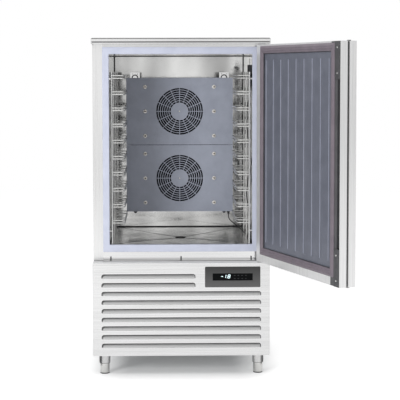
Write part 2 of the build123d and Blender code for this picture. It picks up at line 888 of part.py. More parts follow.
# Control panel: bezel let into the front panel, dark window, board box behind
with BuildPart() as control_bezel:
    with BuildSketch(facing_front(bezel_x, front, bezel_z)):
        RectangleRounded(bezel_width, bezel_height, bezel_radius)
        Rectangle(window_width, window_height, mode=Mode.SUBTRACT)
    extrude(amount=bezel_proud)
    with BuildSketch(facing_front(bezel_x, front, bezel_z)):
        Rectangle(bezel_width - 2 * bezel_lip - clearance, bezel_height - 2 * bezel_lip - clearance)
        Rectangle(window_width, window_height, mode=Mode.SUBTRACT)
    extrude(amount=-bezel_lip)

with BuildPart() as display_window:
    with BuildSketch(facing_front(bezel_x, front, bezel_z)):
        Rectangle(window_width, window_height)
    extrude(amount=-window_sheet)

with BuildPart() as control_box:
    block(
        (bezel_x - bezel_width / 2 + 2 * bezel_lip, bezel_x + bezel_width / 2 - 2 * bezel_lip),
        (front + bezel_lip, front + bezel_lip + control_box_depth),
        (bezel_z - bezel_height / 2 + 2 * bezel_lip, bezel_z + bezel_height / 2 - 2 * bezel_lip),
    )
    chamfer(control_box.edges().filter_by(Axis.Y), bezel_lip)

# Chassis: a shallow tray that carries the machine compartment and the legs
with BuildPart() as base_chassis:
    block(
        (-inner_half, inner_half),
        (front + sheet, rear - sheet),
        (leg_height, leg_height + chassis_rim),
    )
    offset(
        amount=-sheet,
        openings=base_chassis.faces().sort_by(Axis.Z)[-1],
        kind=Kind.INTERSECTION,
    )

# Condenser behind the louvres, with its shroud, fan and motor
condenser_top = chassis_top + condenser_height
condenser_back = condenser_front + condenser_depth
condenser_left = condenser_x - condenser_width / 2
condenser_right = condenser_x + condenser_width / 2
cfan_z = chassis_top + condenser_height / 2

condenser_core = finned_block(
    (condenser_left, condenser_right),
    (condenser_front, condenser_back),
    (chassis_top, condenser_top),
    condenser_fin_count,
    condenser_fin_gap,
    condenser_fin_depth,
)

shroud_hole = cfan_radius + cfan_gap
with BuildPart() as condenser_shroud:
    block(
        (condenser_left, condenser_right),
        (condenser_back, condenser_back + shroud_sheet),
        (chassis_top, condenser_top),
    )
    with BuildSketch(facing_front(condenser_x, condenser_back, cfan_z)):
        RegularPolygon(shroud_hole + shroud_sheet, 48)
    extrude(amount=-shroud_collar)
    with BuildSketch(facing_front(condenser_x, condenser_back, cfan_z)):
        RegularPolygon(shroud_hole, 48)
    extrude(amount=-shroud_collar, mode=Mode.SUBTRACT)

cfan_y = condenser_back + cfan_gap
cmotor_y = cfan_y + cfan_hub_length + clearance
condenser_fan = fan_rotor(
    condenser_x,
    cfan_y,
    cfan_z,
    cfan_radius,
    cfan_hub,
    cfan_hub_length,
    cfan_blades,
    cmotor_shaft + pin_clearance,
)

with BuildPart() as condenser_motor:
    with BuildSketch(facing_front(condenser_x, cmotor_y, cfan_z)):
        Circle(cmotor_radius)
    extrude(amount=-cmotor_length)
    chamfer(condenser_motor.edges().filter_by(GeomType.CIRCLE), cmotor_radius / 6)
    with BuildSketch(facing_front(condenser_x, cmotor_y, cfan_z)):
        Circle(cmotor_shaft)
    extrude(amount=cfan_hub_length)
    with BuildSketch(Plane.YZ.offset(condenser_x - strap_width)):
        with BuildLine():
            Polyline(
                (cmotor_y + cmotor_length, cfan_z + cmotor_radius / 2),
                (cmotor_y + cmotor_length, chassis_top),
                (cmotor_y + cmotor_length + 2 * strap_width, chassis_top),
            )
            offset(amount=strap_sheet, side=Side.LEFT)
        make_face()
    extrude(amount=2 * strap_width)

# Hermetic compressor on a plate and rubber grommets
plate_bottom = chassis_top + grommet_height
shell_bottom = plate_bottom + plate_thickness
shell_top = shell_bottom + compressor_height
shell_x = compressor_x + compressor_radius

with BuildPart() as compressor:
    with BuildSketch(Plane.XZ.offset(-compressor_y)):
        with BuildLine():
            Polyline(
                (compressor_x, shell_bottom),
                (shell_x - pipe_bend, shell_bottom),
                (shell_x, shell_bottom + pipe_bend),
                (shell_x, shell_top - compressor_dome),
                (shell_x - compressor_dome * 0.2, shell_top - compressor_dome * 0.45),
                (shell_x - compressor_dome * 0.7, shell_top - compressor_dome * 0.1),
                (shell_x - compressor_dome * 1.3, shell_top),
                (compressor_x, shell_top),
                close=True,
            )
        make_face()
    revolve(axis=Axis((compressor_x, compressor_y, 0), (0, 0, 1)))
    block(
        (shell_x - terminal_box / 10, shell_x + terminal_box / 2),
        (compressor_y - terminal_box / 2, compressor_y + terminal_box / 2),
        (shell_bottom + compressor_height / 2, shell_bottom + compressor_height / 2 + terminal_box),
    )

with BuildPart() as compressor_plate:
    with BuildSketch(Plane.XY.offset(plate_bottom)):
        with Locations((compressor_x, compressor_y)):
            Rectangle(plate_width, plate_depth)
    extrude(amount=plate_thickness)

with BuildPart() as compressor_grommets:
    with BuildSketch(Plane.XY.offset(chassis_top)):
        with Locations((compressor_x, compressor_y)):
            with GridLocations(plate_width - 2 * grommet_radius, plate_depth - 2 * grommet_radius, 2, 2):
                RegularPolygon(grommet_radius, 12)
    extrude(amount=grommet_height)

# Receiver, drier and the copper pipes between the parts of the circuit
receiver_top = chassis_top + receiver_height
with BuildPart() as liquid_receiver:
    with BuildSketch(Plane.XY.offset(chassis_top)):
        with Locations((liquid_x, riser_y)):
            Circle(receiver_radius)
    extrude(amount=receiver_height)
    chamfer(liquid_receiver.edges().filter_by(GeomType.CIRCLE).sort_by(Axis.Z)[-1], receiver_radius / 3)

drier_bottom = receiver_top + pipe_bend
drier_top = drier_bottom + drier_length
liquid_riser = pipe(
    [
        (liquid_x, riser_y, drier_top),
        (liquid_x, riser_y, riser_top),
        (liquid_x, coil_back, riser_top),
    ],
    pipe_radius,
    pipe_bend,
)
with BuildPart() as liquid_line:
    with BuildSketch(Plane.XZ.offset(-riser_y)):
        with BuildLine():
            Polyline(
                (liquid_x, receiver_top),
                (liquid_x + pipe_radius, receiver_top),
                (liquid_x + pipe_radius, drier_bottom),
                (liquid_x + drier_radius, drier_bottom + drier_radius),
                (liquid_x + drier_radius, drier_top - drier_radius),
                (liquid_x + pipe_radius, drier_top),
                (liquid_x, drier_top),
                close=True,
            )
        make_face()
    revolve(axis=Axis((liquid_x, riser_y, 0), (0, 0, 1)))
    add(liquid_riser)

suction_level = shell_bottom + compressor_height * 0.66
suction_pipe = pipe(
    [
        (suction_x, coil_back, riser_top),
        (suction_x, riser_y, riser_top),
        (suction_x, riser_y, suction_level),
        (suction_x, compressor_y + compressor_radius, suction_level),
    ],
    riser_radius,
    pipe_bend,
)

pipe_side_y = (condenser_front + condenser_back) / 2
discharge_level = shell_top + pipe_bend + pipe_radius
discharge_pipe = pipe(
    [
        (compressor_x, compressor_y, shell_top),
        (compressor_x, compressor_y, discharge_level),
        (compressor_x, pipe_side_y, discharge_level),
        (condenser_right + 3 * pipe_bend, pipe_side_y, discharge_level),
        (condenser_right + 3 * pipe_bend, pipe_side_y, condenser_top - 2 * pipe_bend),
        (condenser_right, pipe_side_y, condenser_top - 2 * pipe_bend),
    ],
    pipe_radius,
    pipe_bend,
)

condensate_level = chassis_top + 2 * pipe_bend
condensate_pipe = pipe(
    [
        (condenser_right, pipe_side_y, condensate_level),
        (liquid_x, pipe_side_y, condensate_level),
        (liquid_x, riser_y - receiver_radius, condensate_level),
    ],
    pipe_radius,
    pipe_bend,
)

with BuildPart() as refrigerant_pipes:
    add([liquid_line.part, suction_pipe, discharge_pipe, condensate_pipe])

with BuildPart() as electrical_box:
    block(
        (-inner_half + chassis_rim, -inner_half + chassis_rim + electrical_width),
        (rear - chassis_rim - electrical_depth, rear - chassis_rim),
        (chassis_top, chassis_top + electrical_height),
    )
    chamfer(electrical_box.edges().filter_by(Axis.Z), bezel_lip)

with BuildPart() as condensate_tray:
    with BuildSketch(Plane.XY.offset(chassis_top)):
        with Locations((-tray_width / 4, drain_y)):
            Rectangle(tray_width, tray_depth)
    extrude(amount=tray_height)
    chamfer(condensate_tray.edges().filter_by(Axis.Z), drain_radius)
    offset(
        amount=-sheet,
        openings=condensate_tray.faces().sort_by(Axis.Z)[-1],
        kind=Kind.INTERSECTION,
    )

# Legs: steel sleeves under the chassis, with levelling feet that screw out of them
leg_places = {
    "front_left": (-leg_x, front + leg_front_inset),
    "front_right": (leg_x, front + leg_front_inset),
    "rear_left": (-leg_x, rear - leg_rear_inset),
    "rear_right": (leg_x, rear - leg_rear_inset),
}
sleeve_bottom = leg_height - sleeve_height
sleeve_bore = sleeve_radius - sleeve_wall
foot_radius = sleeve_bore - clearance

with BuildPart() as leg_sleeves:
    with BuildSketch(Plane.XY.offset(sleeve_bottom)):
        with Locations(*leg_places.values()):
            Circle(sleeve_radius)
            Circle(sleeve_bore, mode=Mode.SUBTRACT)
    extrude(amount=sleeve_height)


def levelling_foot(x, y):
    """Turned foot: a pad with a bevelled sole, and the stem inside the sleeve."""
    with BuildPart() as foot:
        with BuildSketch(Plane.XZ.offset(-y)):
            with BuildLine():
                Polyline(
                    (x, 0),
                    (x + foot_radius - foot_bevel, 0),
                    (x + foot_radius, foot_bevel),
                    (x + foot_radius, sleeve_bottom + foot_overlap),
                    (x, sleeve_bottom + foot_overlap),
                    close=True,
                )
            make_face()
        revolve(axis=Axis((x, y, 0), (0, 0, 1)))
    return foot.part


feet = {"foot_" + place: levelling_foot(x, y) for place, (x, y) in leg_places.items()}

# Hinge brackets on the right stile, each with a pin that carries the door
lower_plate_z = base_top
upper_plate_z = cap_underside - hinge_plate

with BuildPart() as hinge_brackets:
    for plate_z, leg_z in (
        (lower_plate_z, lower_plate_z),
        (upper_plate_z, cap_underside - hinge_leg_height),
    ):
        with BuildSketch(Plane.XY.offset(plate_z)):
            with Locations((hinge_x, hinge_y)):
                Circle(hinge_ear_radius)
                Rectangle(
                    2 * hinge_ear_radius, frame_front - hinge_y, align=(Align.CENTER, Align.MIN)
                )
                Circle(pin_radius, mode=Mode.SUBTRACT)
        extrude(amount=hinge_plate)
        block(
            (hinge_x - hinge_ear_radius, hinge_x + hinge_ear_radius),
            (frame_front - hinge_plate, frame_front),
            (leg_z, leg_z + hinge_leg_height),
        )

pin_reach = bush_depth - clearance
with BuildPart() as hinge_pins:
    with BuildSketch(Plane.XY.offset(lower_plate_z)):
        with Locations((hinge_x, hinge_y)):
            Circle(pin_radius)
    extrude(amount=door_bottom_gap + pin_reach)
    with BuildSketch(Plane.XY.offset(cap_underside)):
        with Locations((hinge_x, hinge_y)):
            Circle(pin_radius)
    extrude(amount=-door_top_gap - pin_reach)

# Door pieces are drawn shut, then swung open about the hinge
liner_half = opening_half - liner_gap
rib_count = 2 * int((liner_half - rib_width / 2 - rib_side_margin) / rib_pitch) + 1
liner_bottom = floor_z + liner_gap
liner_top = ceiling_z - liner_gap
liner_mid = (liner_bottom + liner_top) / 2
grip_inner = -liner_half
free_end = -body_half
bush_places = ((hinge_x, door_bottom, 1), (hinge_x, door_top, -1))


def door_section():
    """The door's plan: a rectangle with a shallow groove along its free end."""
    with BuildSketch() as plan:
        with Locations((0, (front + door_back) / 2)):
            Rectangle(2 * body_half, door_thickness)
        with Locations((free_end, front + edge_groove_from_face)):
            Rectangle(
                edge_groove_depth, edge_groove_width, align=(Align.MIN, Align.MIN), mode=Mode.SUBTRACT
            )
    return plan.sketch


def bush_holes(mode=Mode.SUBTRACT):
    """Sockets for the hinge bushes in the door's top and bottom edges."""
    for x, z, way in bush_places:
        with BuildSketch(Plane.XY.offset(z)) as socket:
            with Locations((x, hinge_y)):
                Circle(bush_radius)
        extrude(socket.sketch, amount=way * bush_depth, mode=mode)


with BuildPart() as door_skin:
    with BuildSketch(Plane.XY.offset(door_bottom)):
        add(door_section())
    extrude(amount=door_top - door_bottom)
    with BuildSketch(Plane.XY.offset(door_bottom + door_sheet)):
        add(offset(door_section(), amount=-door_sheet, kind=Kind.INTERSECTION))
    extrude(amount=door_top - door_bottom - 2 * door_sheet, mode=Mode.SUBTRACT)
    block(
        (free_end + door_sheet, liner_half),
        (door_back - door_sheet, door_back),
        (liner_bottom, liner_top),
        Mode.SUBTRACT,
    )
    block(
        (free_end + door_sheet, grip_inner),
        (door_back - door_sheet, door_back),
        (door_bottom + door_sheet, door_top - door_sheet),
        Mode.SUBTRACT,
    )
    bush_holes()

with BuildPart() as door_foam:
    with BuildSketch(Plane.XY.offset(door_bottom + door_sheet)):
        add(offset(door_section(), amount=-door_sheet, kind=Kind.INTERSECTION))
    extrude(amount=door_top - door_bottom - 2 * door_sheet)
    block(
        (free_end, liner_half),
        (door_back - liner_recess - door_sheet, door_back),
        (liner_bottom, liner_top),
        Mode.SUBTRACT,
    )
    block(
        (free_end, grip_inner),
        (door_back - grip_depth, door_back),
        (door_bottom, door_top),
        Mode.SUBTRACT,
    )
    bush_holes()

with BuildPart() as door_liner:
    liner_face = door_back - liner_recess
    block(
        (grip_inner, liner_half),
        (liner_face - door_sheet, door_back),
        (liner_bottom, liner_top),
    )
    block(
        (grip_inner + door_sheet, liner_half - door_sheet),
        (liner_face, door_back),
        (liner_bottom + door_sheet, liner_top - door_sheet),
        Mode.SUBTRACT,
    )
    with BuildSketch(facing_front(0, liner_face, liner_mid)):
        with GridLocations(rib_pitch, 0, rib_count, 1):
            Rectangle(rib_width, liner_top - liner_bottom - 2 * rib_end_margin)
    extrude(amount=-rib_height, taper=38)

# Grip: a moulded strip along the free side, with a finger channel between two end blocks
with BuildPart() as door_grip:
    with BuildSketch(Plane.XY.offset(door_bottom + door_sheet)):
        with Locations((free_end + door_sheet, door_back)):
            Rectangle(
                grip_inner - free_end - door_sheet, grip_depth, align=(Align.MIN, Align.MAX)
            )
        with Locations((free_end + 2 * door_sheet, door_back)):
            Rectangle(
                grip_finger_width, grip_finger_depth, align=(Align.MIN, Align.MAX), mode=Mode.SUBTRACT
            )
    extrude(amount=door_top - door_bottom - 2 * door_sheet)
    chamfer(
        door_grip.edges().filter_by(Axis.Z).sort_by(Axis.Y)[:2],
        door_sheet,
    )

grip_end_width = -breaker_half - free_end - 2 * door_sheet
grip_end_mid = (-breaker_half + free_end) / 2
grip_end_levels = (
    door_bottom + door_sheet + grip_end_length / 2,
    door_top - door_sheet - grip_end_length / 2,
)
with BuildPart() as door_grip_ends:
    for level in grip_end_levels:
        with BuildSketch(facing_front(grip_end_mid, door_back, level)):
            Rectangle(grip_end_width, grip_end_length)
        extrude(amount=-grip_end_height)
        with BuildSketch(facing_front(free_end + 2 * door_sheet + grip_finger_width / 2, door_back, level)):
            Rectangle(grip_finger_width - 2 * clearance, grip_end_length - 2 * bezel_radius)
        extrude(amount=grip_finger_depth - 2 * clearance)

# Gasket: a soft frame with a lip inside and a groove along its crown
gasket_height = gasket_gap - breaker_proud - clearance
gasket_half_z = (breaker_top - breaker_bottom) / 2
with BuildPart() as door_gasket:
    with BuildSketch(facing_front(0, door_back, (breaker_bottom + breaker_top) / 2)):
        Rectangle(2 * breaker_half, 2 * gasket_half_z)
        Rectangle(2 * (breaker_half - gasket_width), 2 * (gasket_half_z - gasket_width), mode=Mode.SUBTRACT)
    extrude(amount=-gasket_height)
    chamfer(door_gasket.faces().sort_by(Axis.Y)[-1].edges(), gasket_groove)
    with BuildSketch(
        facing_front(0, door_back + gasket_height, (breaker_bottom + breaker_top) / 2)
    ):
        crown = gasket_width / 2
        Rectangle(
            2 * (breaker_half - crown) + gasket_groove, 2 * (gasket_half_z - crown) + gasket_groove
        )
        Rectangle(
            2 * (breaker_half - crown) - gasket_groove,
            2 * (gasket_half_z - crown) - gasket_groove,
            mode=Mode.SUBTRACT,
        )
    extrude(amount=gasket_groove, mode=Mode.SUBTRACT)

with BuildPart() as hinge_bushes:
    bush_holes(Mode.ADD)
    for x, z, way in bush_places:
        flange = door_bottom_gap - hinge_plate - clearance
        with BuildSketch(Plane.XY.offset(z)):
            with Locations((x, hinge_y)):
                Circle(bush_flange_radius)
        extrude(amount=-way * flange)
        with BuildSketch(Plane.XY.offset(z - way * flange)):
            with Locations((x, hinge_y)):
                Circle(pin_radius + pin_clearance)
        extrude(amount=way * (bush_depth + flange), mode=Mode.SUBTRACT)
        with BuildSketch(Plane.XY.offset(z)):
            with Locations((-x, hinge_y)):
                RegularPolygon(plug_radius, 12)
        extrude(amount=-way * plug_height)

# Every finished piece, by the name of its file
pieces = {
    "side_panel_left": side_panel_left.part,
    "side_panel_right": side_panel_right.part,
    "rear_panel": rear_panel.part,
    "rear_vent_panel": rear_vent_panel.part,
    "top_cap": top_cap.part,
    "deck_plate": deck_plate.part,
    "cabinet_foam": cabinet_foam.part,
    "cavity_liner": cavity_liner.part,
    "cavity_floor": cavity_floor.part,
    "floor_drain": floor_drain.part,
    "breaker_frame": breaker_frame.part,
    "frame_rails": frame_rails.part,
    "evaporator_cover_upper": evaporator_cover_upper,
    "evaporator_cover_lower": evaporator_cover_lower,
    "cover_screws": cover_screws.part,
    "cover_hangers": cover_hangers.part,
    "cover_clips": cover_clips.part,
    "fan_motors": fan_motors.part,
    "fan_straps": fan_straps.part,
    **fan_rotors,
    "evaporator_coil": evaporator_coil.part,
    "evaporator_side_plates": evaporator_side_plates.part,
    "tray_rack_left": tray_rack_left.part,
    "tray_rack_right": tray_rack_right.part,
    "rack_studs": rack_studs.part,
    "probe_clip": probe_clip.part,
    "core_probe": core_probe.part,
    "cable_gland": cable_gland.part,
    "probe_cable": probe_cable,
    "base_front_panel": base_front_panel.part,
    "control_bezel": control_bezel.part,
    "display_window": display_window.part,
    "control_box": control_box.part,
    "base_chassis": base_chassis.part,
    "condenser_core": condenser_core,
    "condenser_shroud": condenser_shroud.part,
    "condenser_fan": condenser_fan,
    "condenser_motor": condenser_motor.part,
    "compressor": compressor.part,
    "compressor_plate": compressor_plate.part,
    "compressor_grommets": compressor_grommets.part,
    "liquid_receiver": liquid_receiver.part,
    "refrigerant_pipes": refrigerant_pipes.part,
    "electrical_box": electrical_box.part,
    "condensate_tray": condensate_tray.part,
    "leg_sleeves": leg_sleeves.part,
    **feet,
    "hinge_brackets": hinge_brackets.part,
    "hinge_pins": hinge_pins.part,
}

door_pieces = {
    "door_skin": door_skin.part,
    "door_foam": door_foam.part,
    "door_liner": door_liner.part,
    "door_grip": door_grip.part,
    "door_grip_ends": door_grip_ends.part,
    "door_gasket": door_gasket.part,
    "hinge_bushes": hinge_bushes.part,
}
for name, piece in door_pieces.items():
    pieces[name] = piece.rotate(hinge_axis, door_open_angle)

for name, piece in pieces.items():
    piece.label = name
    export_step(piece, f"parts/{name}.step")

print("cable bends, mm:", [round(radius) for radius in cable_bends])
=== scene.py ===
import bpy
import bmesh
from math import cos, radians, sin
from mathutils import Matrix, Vector


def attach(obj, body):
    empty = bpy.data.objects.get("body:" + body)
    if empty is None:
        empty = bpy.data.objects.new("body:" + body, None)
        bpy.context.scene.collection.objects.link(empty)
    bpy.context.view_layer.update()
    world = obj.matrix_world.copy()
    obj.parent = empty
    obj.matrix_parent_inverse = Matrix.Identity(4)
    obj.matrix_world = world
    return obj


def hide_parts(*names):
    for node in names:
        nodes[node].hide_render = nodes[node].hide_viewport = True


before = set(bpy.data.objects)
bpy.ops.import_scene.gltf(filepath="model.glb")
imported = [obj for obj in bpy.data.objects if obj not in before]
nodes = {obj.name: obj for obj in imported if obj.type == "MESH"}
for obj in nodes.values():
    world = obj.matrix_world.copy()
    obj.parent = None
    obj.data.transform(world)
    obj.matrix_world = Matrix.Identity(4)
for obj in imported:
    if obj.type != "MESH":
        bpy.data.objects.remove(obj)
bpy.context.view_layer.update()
MM = 0.001


# Small helpers

def linear(hex_colour):
    """An sRGB hex colour as linear RGBA."""
    channels = [int(hex_colour[i:i + 2], 16) / 255 for i in (0, 2, 4)]
    return [c / 12.92 if c <= 0.04045 else ((c + 0.055) / 1.055) ** 2.4 for c in channels] + [1.0]


def node(tree, kind, inputs=None, stops=(), **settings):
    """Add one node: inputs are values or the sockets that feed it, settings are its properties.

    The stops of a colour ramp are (place, hex colour) pairs.
    """
    made = tree.nodes.new(kind)
    for name, value in settings.items():
        setattr(made, name, value)
    for key, value in (inputs or {}).items():
        if isinstance(value, bpy.types.NodeSocket):
            tree.links.new(value, made.inputs[key])
        else:
            made.inputs[key].default_value = value
    for number, (place, colour) in enumerate(stops):
        made.color_ramp.elements[number].position = place
        made.color_ramp.elements[number].color = linear(colour)
    return made


def new_finish(name):
    """An empty material and its node tree."""
    made = bpy.data.materials.new(name)
    made.use_nodes = True
    made.node_tree.nodes.clear()
    return made, made.node_tree


# Patterns that the finishes share. In a Mix node, sockets 2 and 3 and output 0 are numbers, and sockets 6
# and 7 and output 2 are colours.

# Noise seldom leaves this range, so tone and gloss are spread over it.
NOISE_LOW, NOISE_HIGH = 0.3, 0.7
# Real strokes are 0.1 to 0.3 mm apart; these are drawn 3 mm apart so that they show in the picture.
STROKE_MM, STROKE_RUN, STROKE_DEPTH = 3.0, 120.0, 0.0006
# Sheet rolled in one coil still changes tone slowly over most of a metre.
COIL_MM, COIL_DARKEST = 700.0, 0.84
# Mill sheet is out of flat by 3% of a patch, and the haze on it is five times finer than the patches.
OUT_OF_FLAT, HAZE_PER_PATCH = 0.03, 5
# Moulded colour drifts over a hand's width, and the tooling is under half a millimetre deep.
MOTTLE_MM, GRIT_DEPTH = 60.0, 0.0004
# Turned and printed surfaces are finer.
TURNED_GRIT_MM, PRINT_GRIT_MM, FINE_DEPTH = 1.5, 0.9, 0.0003


def grain_field(tree, size_mm, detail, along="", stretch=1.0):
    """Noise on the object's own coordinates, size_mm across the grain and stretch times that along it."""
    place = node(tree, "ShaderNodeTexCoord")
    across = 1.0 / (size_mm * MM)
    scale = [across if axis != along else across / stretch for axis in "XYZ"]
    mapped = node(tree, "ShaderNodeMapping", {"Vector": place.outputs["Object"], "Scale": scale})
    return node(tree, "ShaderNodeTexNoise", {
        "Vector": mapped.outputs[0], "Scale": 1.0, "Detail": detail, "Roughness": 0.6,
    }).outputs[0]


def tone_and_gloss(tree, tone, dark, light, gloss, smooth, dull):
    """A colour led by one noise, from dark to light, and a roughness led by another, from smooth to dull."""
    ramp = node(tree, "ShaderNodeValToRGB", {"Fac": tone}, ((NOISE_LOW, dark), (NOISE_HIGH, light)))
    rough = node(tree, "ShaderNodeMapRange", {
        "Value": gloss, "From Min": NOISE_LOW, "From Max": NOISE_HIGH, "To Min": smooth, "To Max": dull,
    })
    return ramp.outputs[0], rough.outputs[0]


def brushed_steel(name, dark, light, rough, along, strokes=0.04, haze=0.0):
    """Ground or drawn metal: fine strokes stretch each reflection across them, and haze dulls it."""
    made, tree = new_finish(name)
    field = grain_field(tree, STROKE_MM, detail=3.0, along=along, stretch=STROKE_RUN)
    normal = node(tree, "ShaderNodeBump", {"Height": field, "Strength": strokes, "Distance": STROKE_DEPTH})
    tone, gloss = tone_and_gloss(tree, field, dark, light, field, rough - 0.05, rough + 0.05)
    drift = node(tree, "ShaderNodeMapRange", {
        "Value": grain_field(tree, COIL_MM, detail=0.0), "From Min": NOISE_LOW, "From Max": NOISE_HIGH,
        "To Min": COIL_DARKEST, "To Max": 1.0,
    })
    drifted = node(tree, "ShaderNodeVectorMath", {0: tone, "Scale": drift.outputs[0]}, operation="SCALE")
    shader = node(tree, "ShaderNodeBsdfPrincipled", {
        "Base Color": drifted.outputs[0], "Metallic": 1.0 - haze, "Roughness": gloss,
        "Normal": normal.outputs[0],
    })
    node(tree, "ShaderNodeOutputMaterial", {"Surface": shader.outputs[0]})
    return made


# Base front: its face, where a pressing starts behind it and how deep it goes, the half width and top of the
# field of pressings, and the height from which the sheet is folded back as a ledge
FRONT_Y, PRESSING_START, PRESSING_DEPTH = -0.410, 0.0008, 0.017
PRESSINGS_HALF, PRESSINGS_TOP, LEDGE_FROM = 0.364, 0.470, 0.4985


def pressed_front(name, dark, light, hollow_shade, ledge, rough, dull_rough):
    """Ground sheet with pressed louvres: in them and on the ledge the strokes stop and it is dull. The
    louvres carry painted shade, darker the deeper they go, and the ledge is painted near white as painted
    light.
    """
    made, tree = new_finish(name)
    field = grain_field(tree, STROKE_MM, detail=3.0, along="X", stretch=STROKE_RUN)
    normal = node(tree, "ShaderNodeBump", {"Height": field, "Strength": 0.03, "Distance": STROKE_DEPTH})
    place = node(tree, "ShaderNodeTexCoord")
    spot = node(tree, "ShaderNodeSeparateXYZ", {0: place.outputs["Object"]}).outputs
    # 1 inside a pressing: behind the face, below the top of the field and between its sides
    behind = node(tree, "ShaderNodeMath", {
        0: spot["Y"], 1: FRONT_Y + PRESSING_START,
    }, operation="GREATER_THAN").outputs[0]
    below = node(tree, "ShaderNodeMath", {0: spot["Z"], 1: PRESSINGS_TOP}, operation="LESS_THAN").outputs[0]
    aside = node(tree, "ShaderNodeMath", {0: spot["X"]}, operation="ABSOLUTE").outputs[0]
    between = node(tree, "ShaderNodeMath", {0: aside, 1: PRESSINGS_HALF}, operation="LESS_THAN").outputs[0]
    pocket = node(tree, "ShaderNodeMath", {0: behind, 1: below}, operation="MULTIPLY").outputs[0]
    drawn = node(tree, "ShaderNodeMath", {0: pocket, 1: between}, operation="MULTIPLY").outputs[0]
    # 1 on the ledge
    folded = node(tree, "ShaderNodeMath", {0: spot["Z"], 1: LEDGE_FROM}, operation="GREATER_THAN").outputs[0]
    # Painted shade: in a louvre the colour darkens from the light tone at the face to the hollow tone at the
    # back.
    depth = node(tree, "ShaderNodeMapRange", {
        "Value": spot["Y"], "From Min": FRONT_Y, "From Max": FRONT_Y + PRESSING_DEPTH,
    }).outputs[0]
    slope = node(tree, "ShaderNodeValToRGB", {"Fac": depth}, ((0.0, light), (1.0, hollow_shade))).outputs[0]
    ground = node(tree, "ShaderNodeValToRGB", {"Fac": field}, ((NOISE_LOW, dark), (NOISE_HIGH, light)))
    # Painted light: the ledge gets a near-white, dull colour in place of the steel's.
    face = node(tree, "ShaderNodeMix", {
        0: folded, 6: ground.outputs[0], 7: linear(ledge),
    }, data_type="RGBA").outputs[2]
    colour = node(tree, "ShaderNodeMix", {0: drawn, 6: face, 7: slope}, data_type="RGBA").outputs[2]
    dull = node(tree, "ShaderNodeMath", {0: drawn, 1: folded}, operation="MAXIMUM").outputs[0]
    metal = node(tree, "ShaderNodeMath", {0: 1.0, 1: dull}, operation="SUBTRACT").outputs[0]
    gloss = node(tree, "ShaderNodeMix", {0: dull, 2: rough, 3: dull_rough}).outputs[0]
    shader = node(tree, "ShaderNodeBsdfPrincipled", {
        "Base Color": colour, "Metallic": metal, "Roughness": gloss, "Normal": normal.outputs[0],
    })
    node(tree, "ShaderNodeOutputMaterial", {"Surface": shader.outputs[0]})
    return made


def mill_steel(name, dark, light, rough, patch_mm, wave, along="", stretch=1.0):
    """Cold-rolled sheet: no strokes, but broad soft patches where it isn't quite flat."""
    made, tree = new_finish(name)
    patches = grain_field(tree, patch_mm, detail=1.0, along=along, stretch=stretch)
    haze = grain_field(tree, patch_mm / HAZE_PER_PATCH, detail=2.0)
    normal = node(tree, "ShaderNodeBump", {
        "Height": patches, "Strength": wave, "Distance": patch_mm * MM * OUT_OF_FLAT,
    })
    tone, gloss = tone_and_gloss(tree, patches, dark, light, haze, rough - 0.04, rough + 0.06)
    shader = node(tree, "ShaderNodeBsdfPrincipled", {
        "Base Color": tone, "Metallic": 1.0, "Roughness": gloss, "Normal": normal.outputs[0],
    })
    node(tree, "ShaderNodeOutputMaterial", {"Surface": shader.outputs[0]})
    return made


def moulded(name, dark, light, rough, grit_mm=1.2, bump=0.05, specular=0.5, coat=0.0):
    """Moulded or painted surface: an even colour with a faint mottle and a fine tooled texture."""
    made, tree = new_finish(name)
    mottle = grain_field(tree, MOTTLE_MM, detail=3.0)
    # Real mould texture is about 0.1 mm; grit_mm is drawn coarser so that it shows in a close view.
    grit = grain_field(tree, grit_mm, detail=2.0)
    normal = node(tree, "ShaderNodeBump", {"Height": grit, "Strength": bump, "Distance": GRIT_DEPTH})
    tone, gloss = tone_and_gloss(tree, mottle, dark, light, grit, rough - 0.04, rough + 0.04)
    shader = node(tree, "ShaderNodeBsdfPrincipled", {
        "Base Color": tone, "Roughness": gloss, "Specular IOR Level": specular, "Coat Weight": coat,
        "Normal": normal.outputs[0],
    })
    node(tree, "ShaderNodeOutputMaterial", {"Surface": shader.outputs[0]})
    return made


def split_finish(name, level, below, above):
    """Two finishes on one turned piece, changing at a height: (hex, metallic, roughness) each."""
    made, tree = new_finish(name)
    place = node(tree, "ShaderNodeTexCoord")
    height = node(tree, "ShaderNodeSeparateXYZ", {0: place.outputs["Object"]}).outputs["Z"]
    past = node(tree, "ShaderNodeMath", {0: height, 1: level}, operation="GREATER_THAN").outputs[0]
    colour = node(tree, "ShaderNodeMix", {
        0: past, 6: linear(below[0]), 7: linear(above[0]),
    }, data_type="RGBA").outputs[2]
    metal = node(tree, "ShaderNodeMix", {0: past, 2: below[1], 3: above[1]}).outputs[0]
    rough = node(tree, "ShaderNodeMix", {0: past, 2: below[2], 3: above[2]}).outputs[0]
    grit = grain_field(tree, TURNED_GRIT_MM, detail=2.0)
    normal = node(tree, "ShaderNodeBump", {"Height": grit, "Strength": 0.05, "Distance": FINE_DEPTH})
    shader = node(tree, "ShaderNodeBsdfPrincipled", {
        "Base Color": colour, "Metallic": metal, "Roughness": rough, "Normal": normal.outputs[0],
    })
    node(tree, "ShaderNodeOutputMaterial", {"Surface": shader.outputs[0]})
    return made


BEZEL_FOOT, BEZEL_TOP = 0.391, 0.483


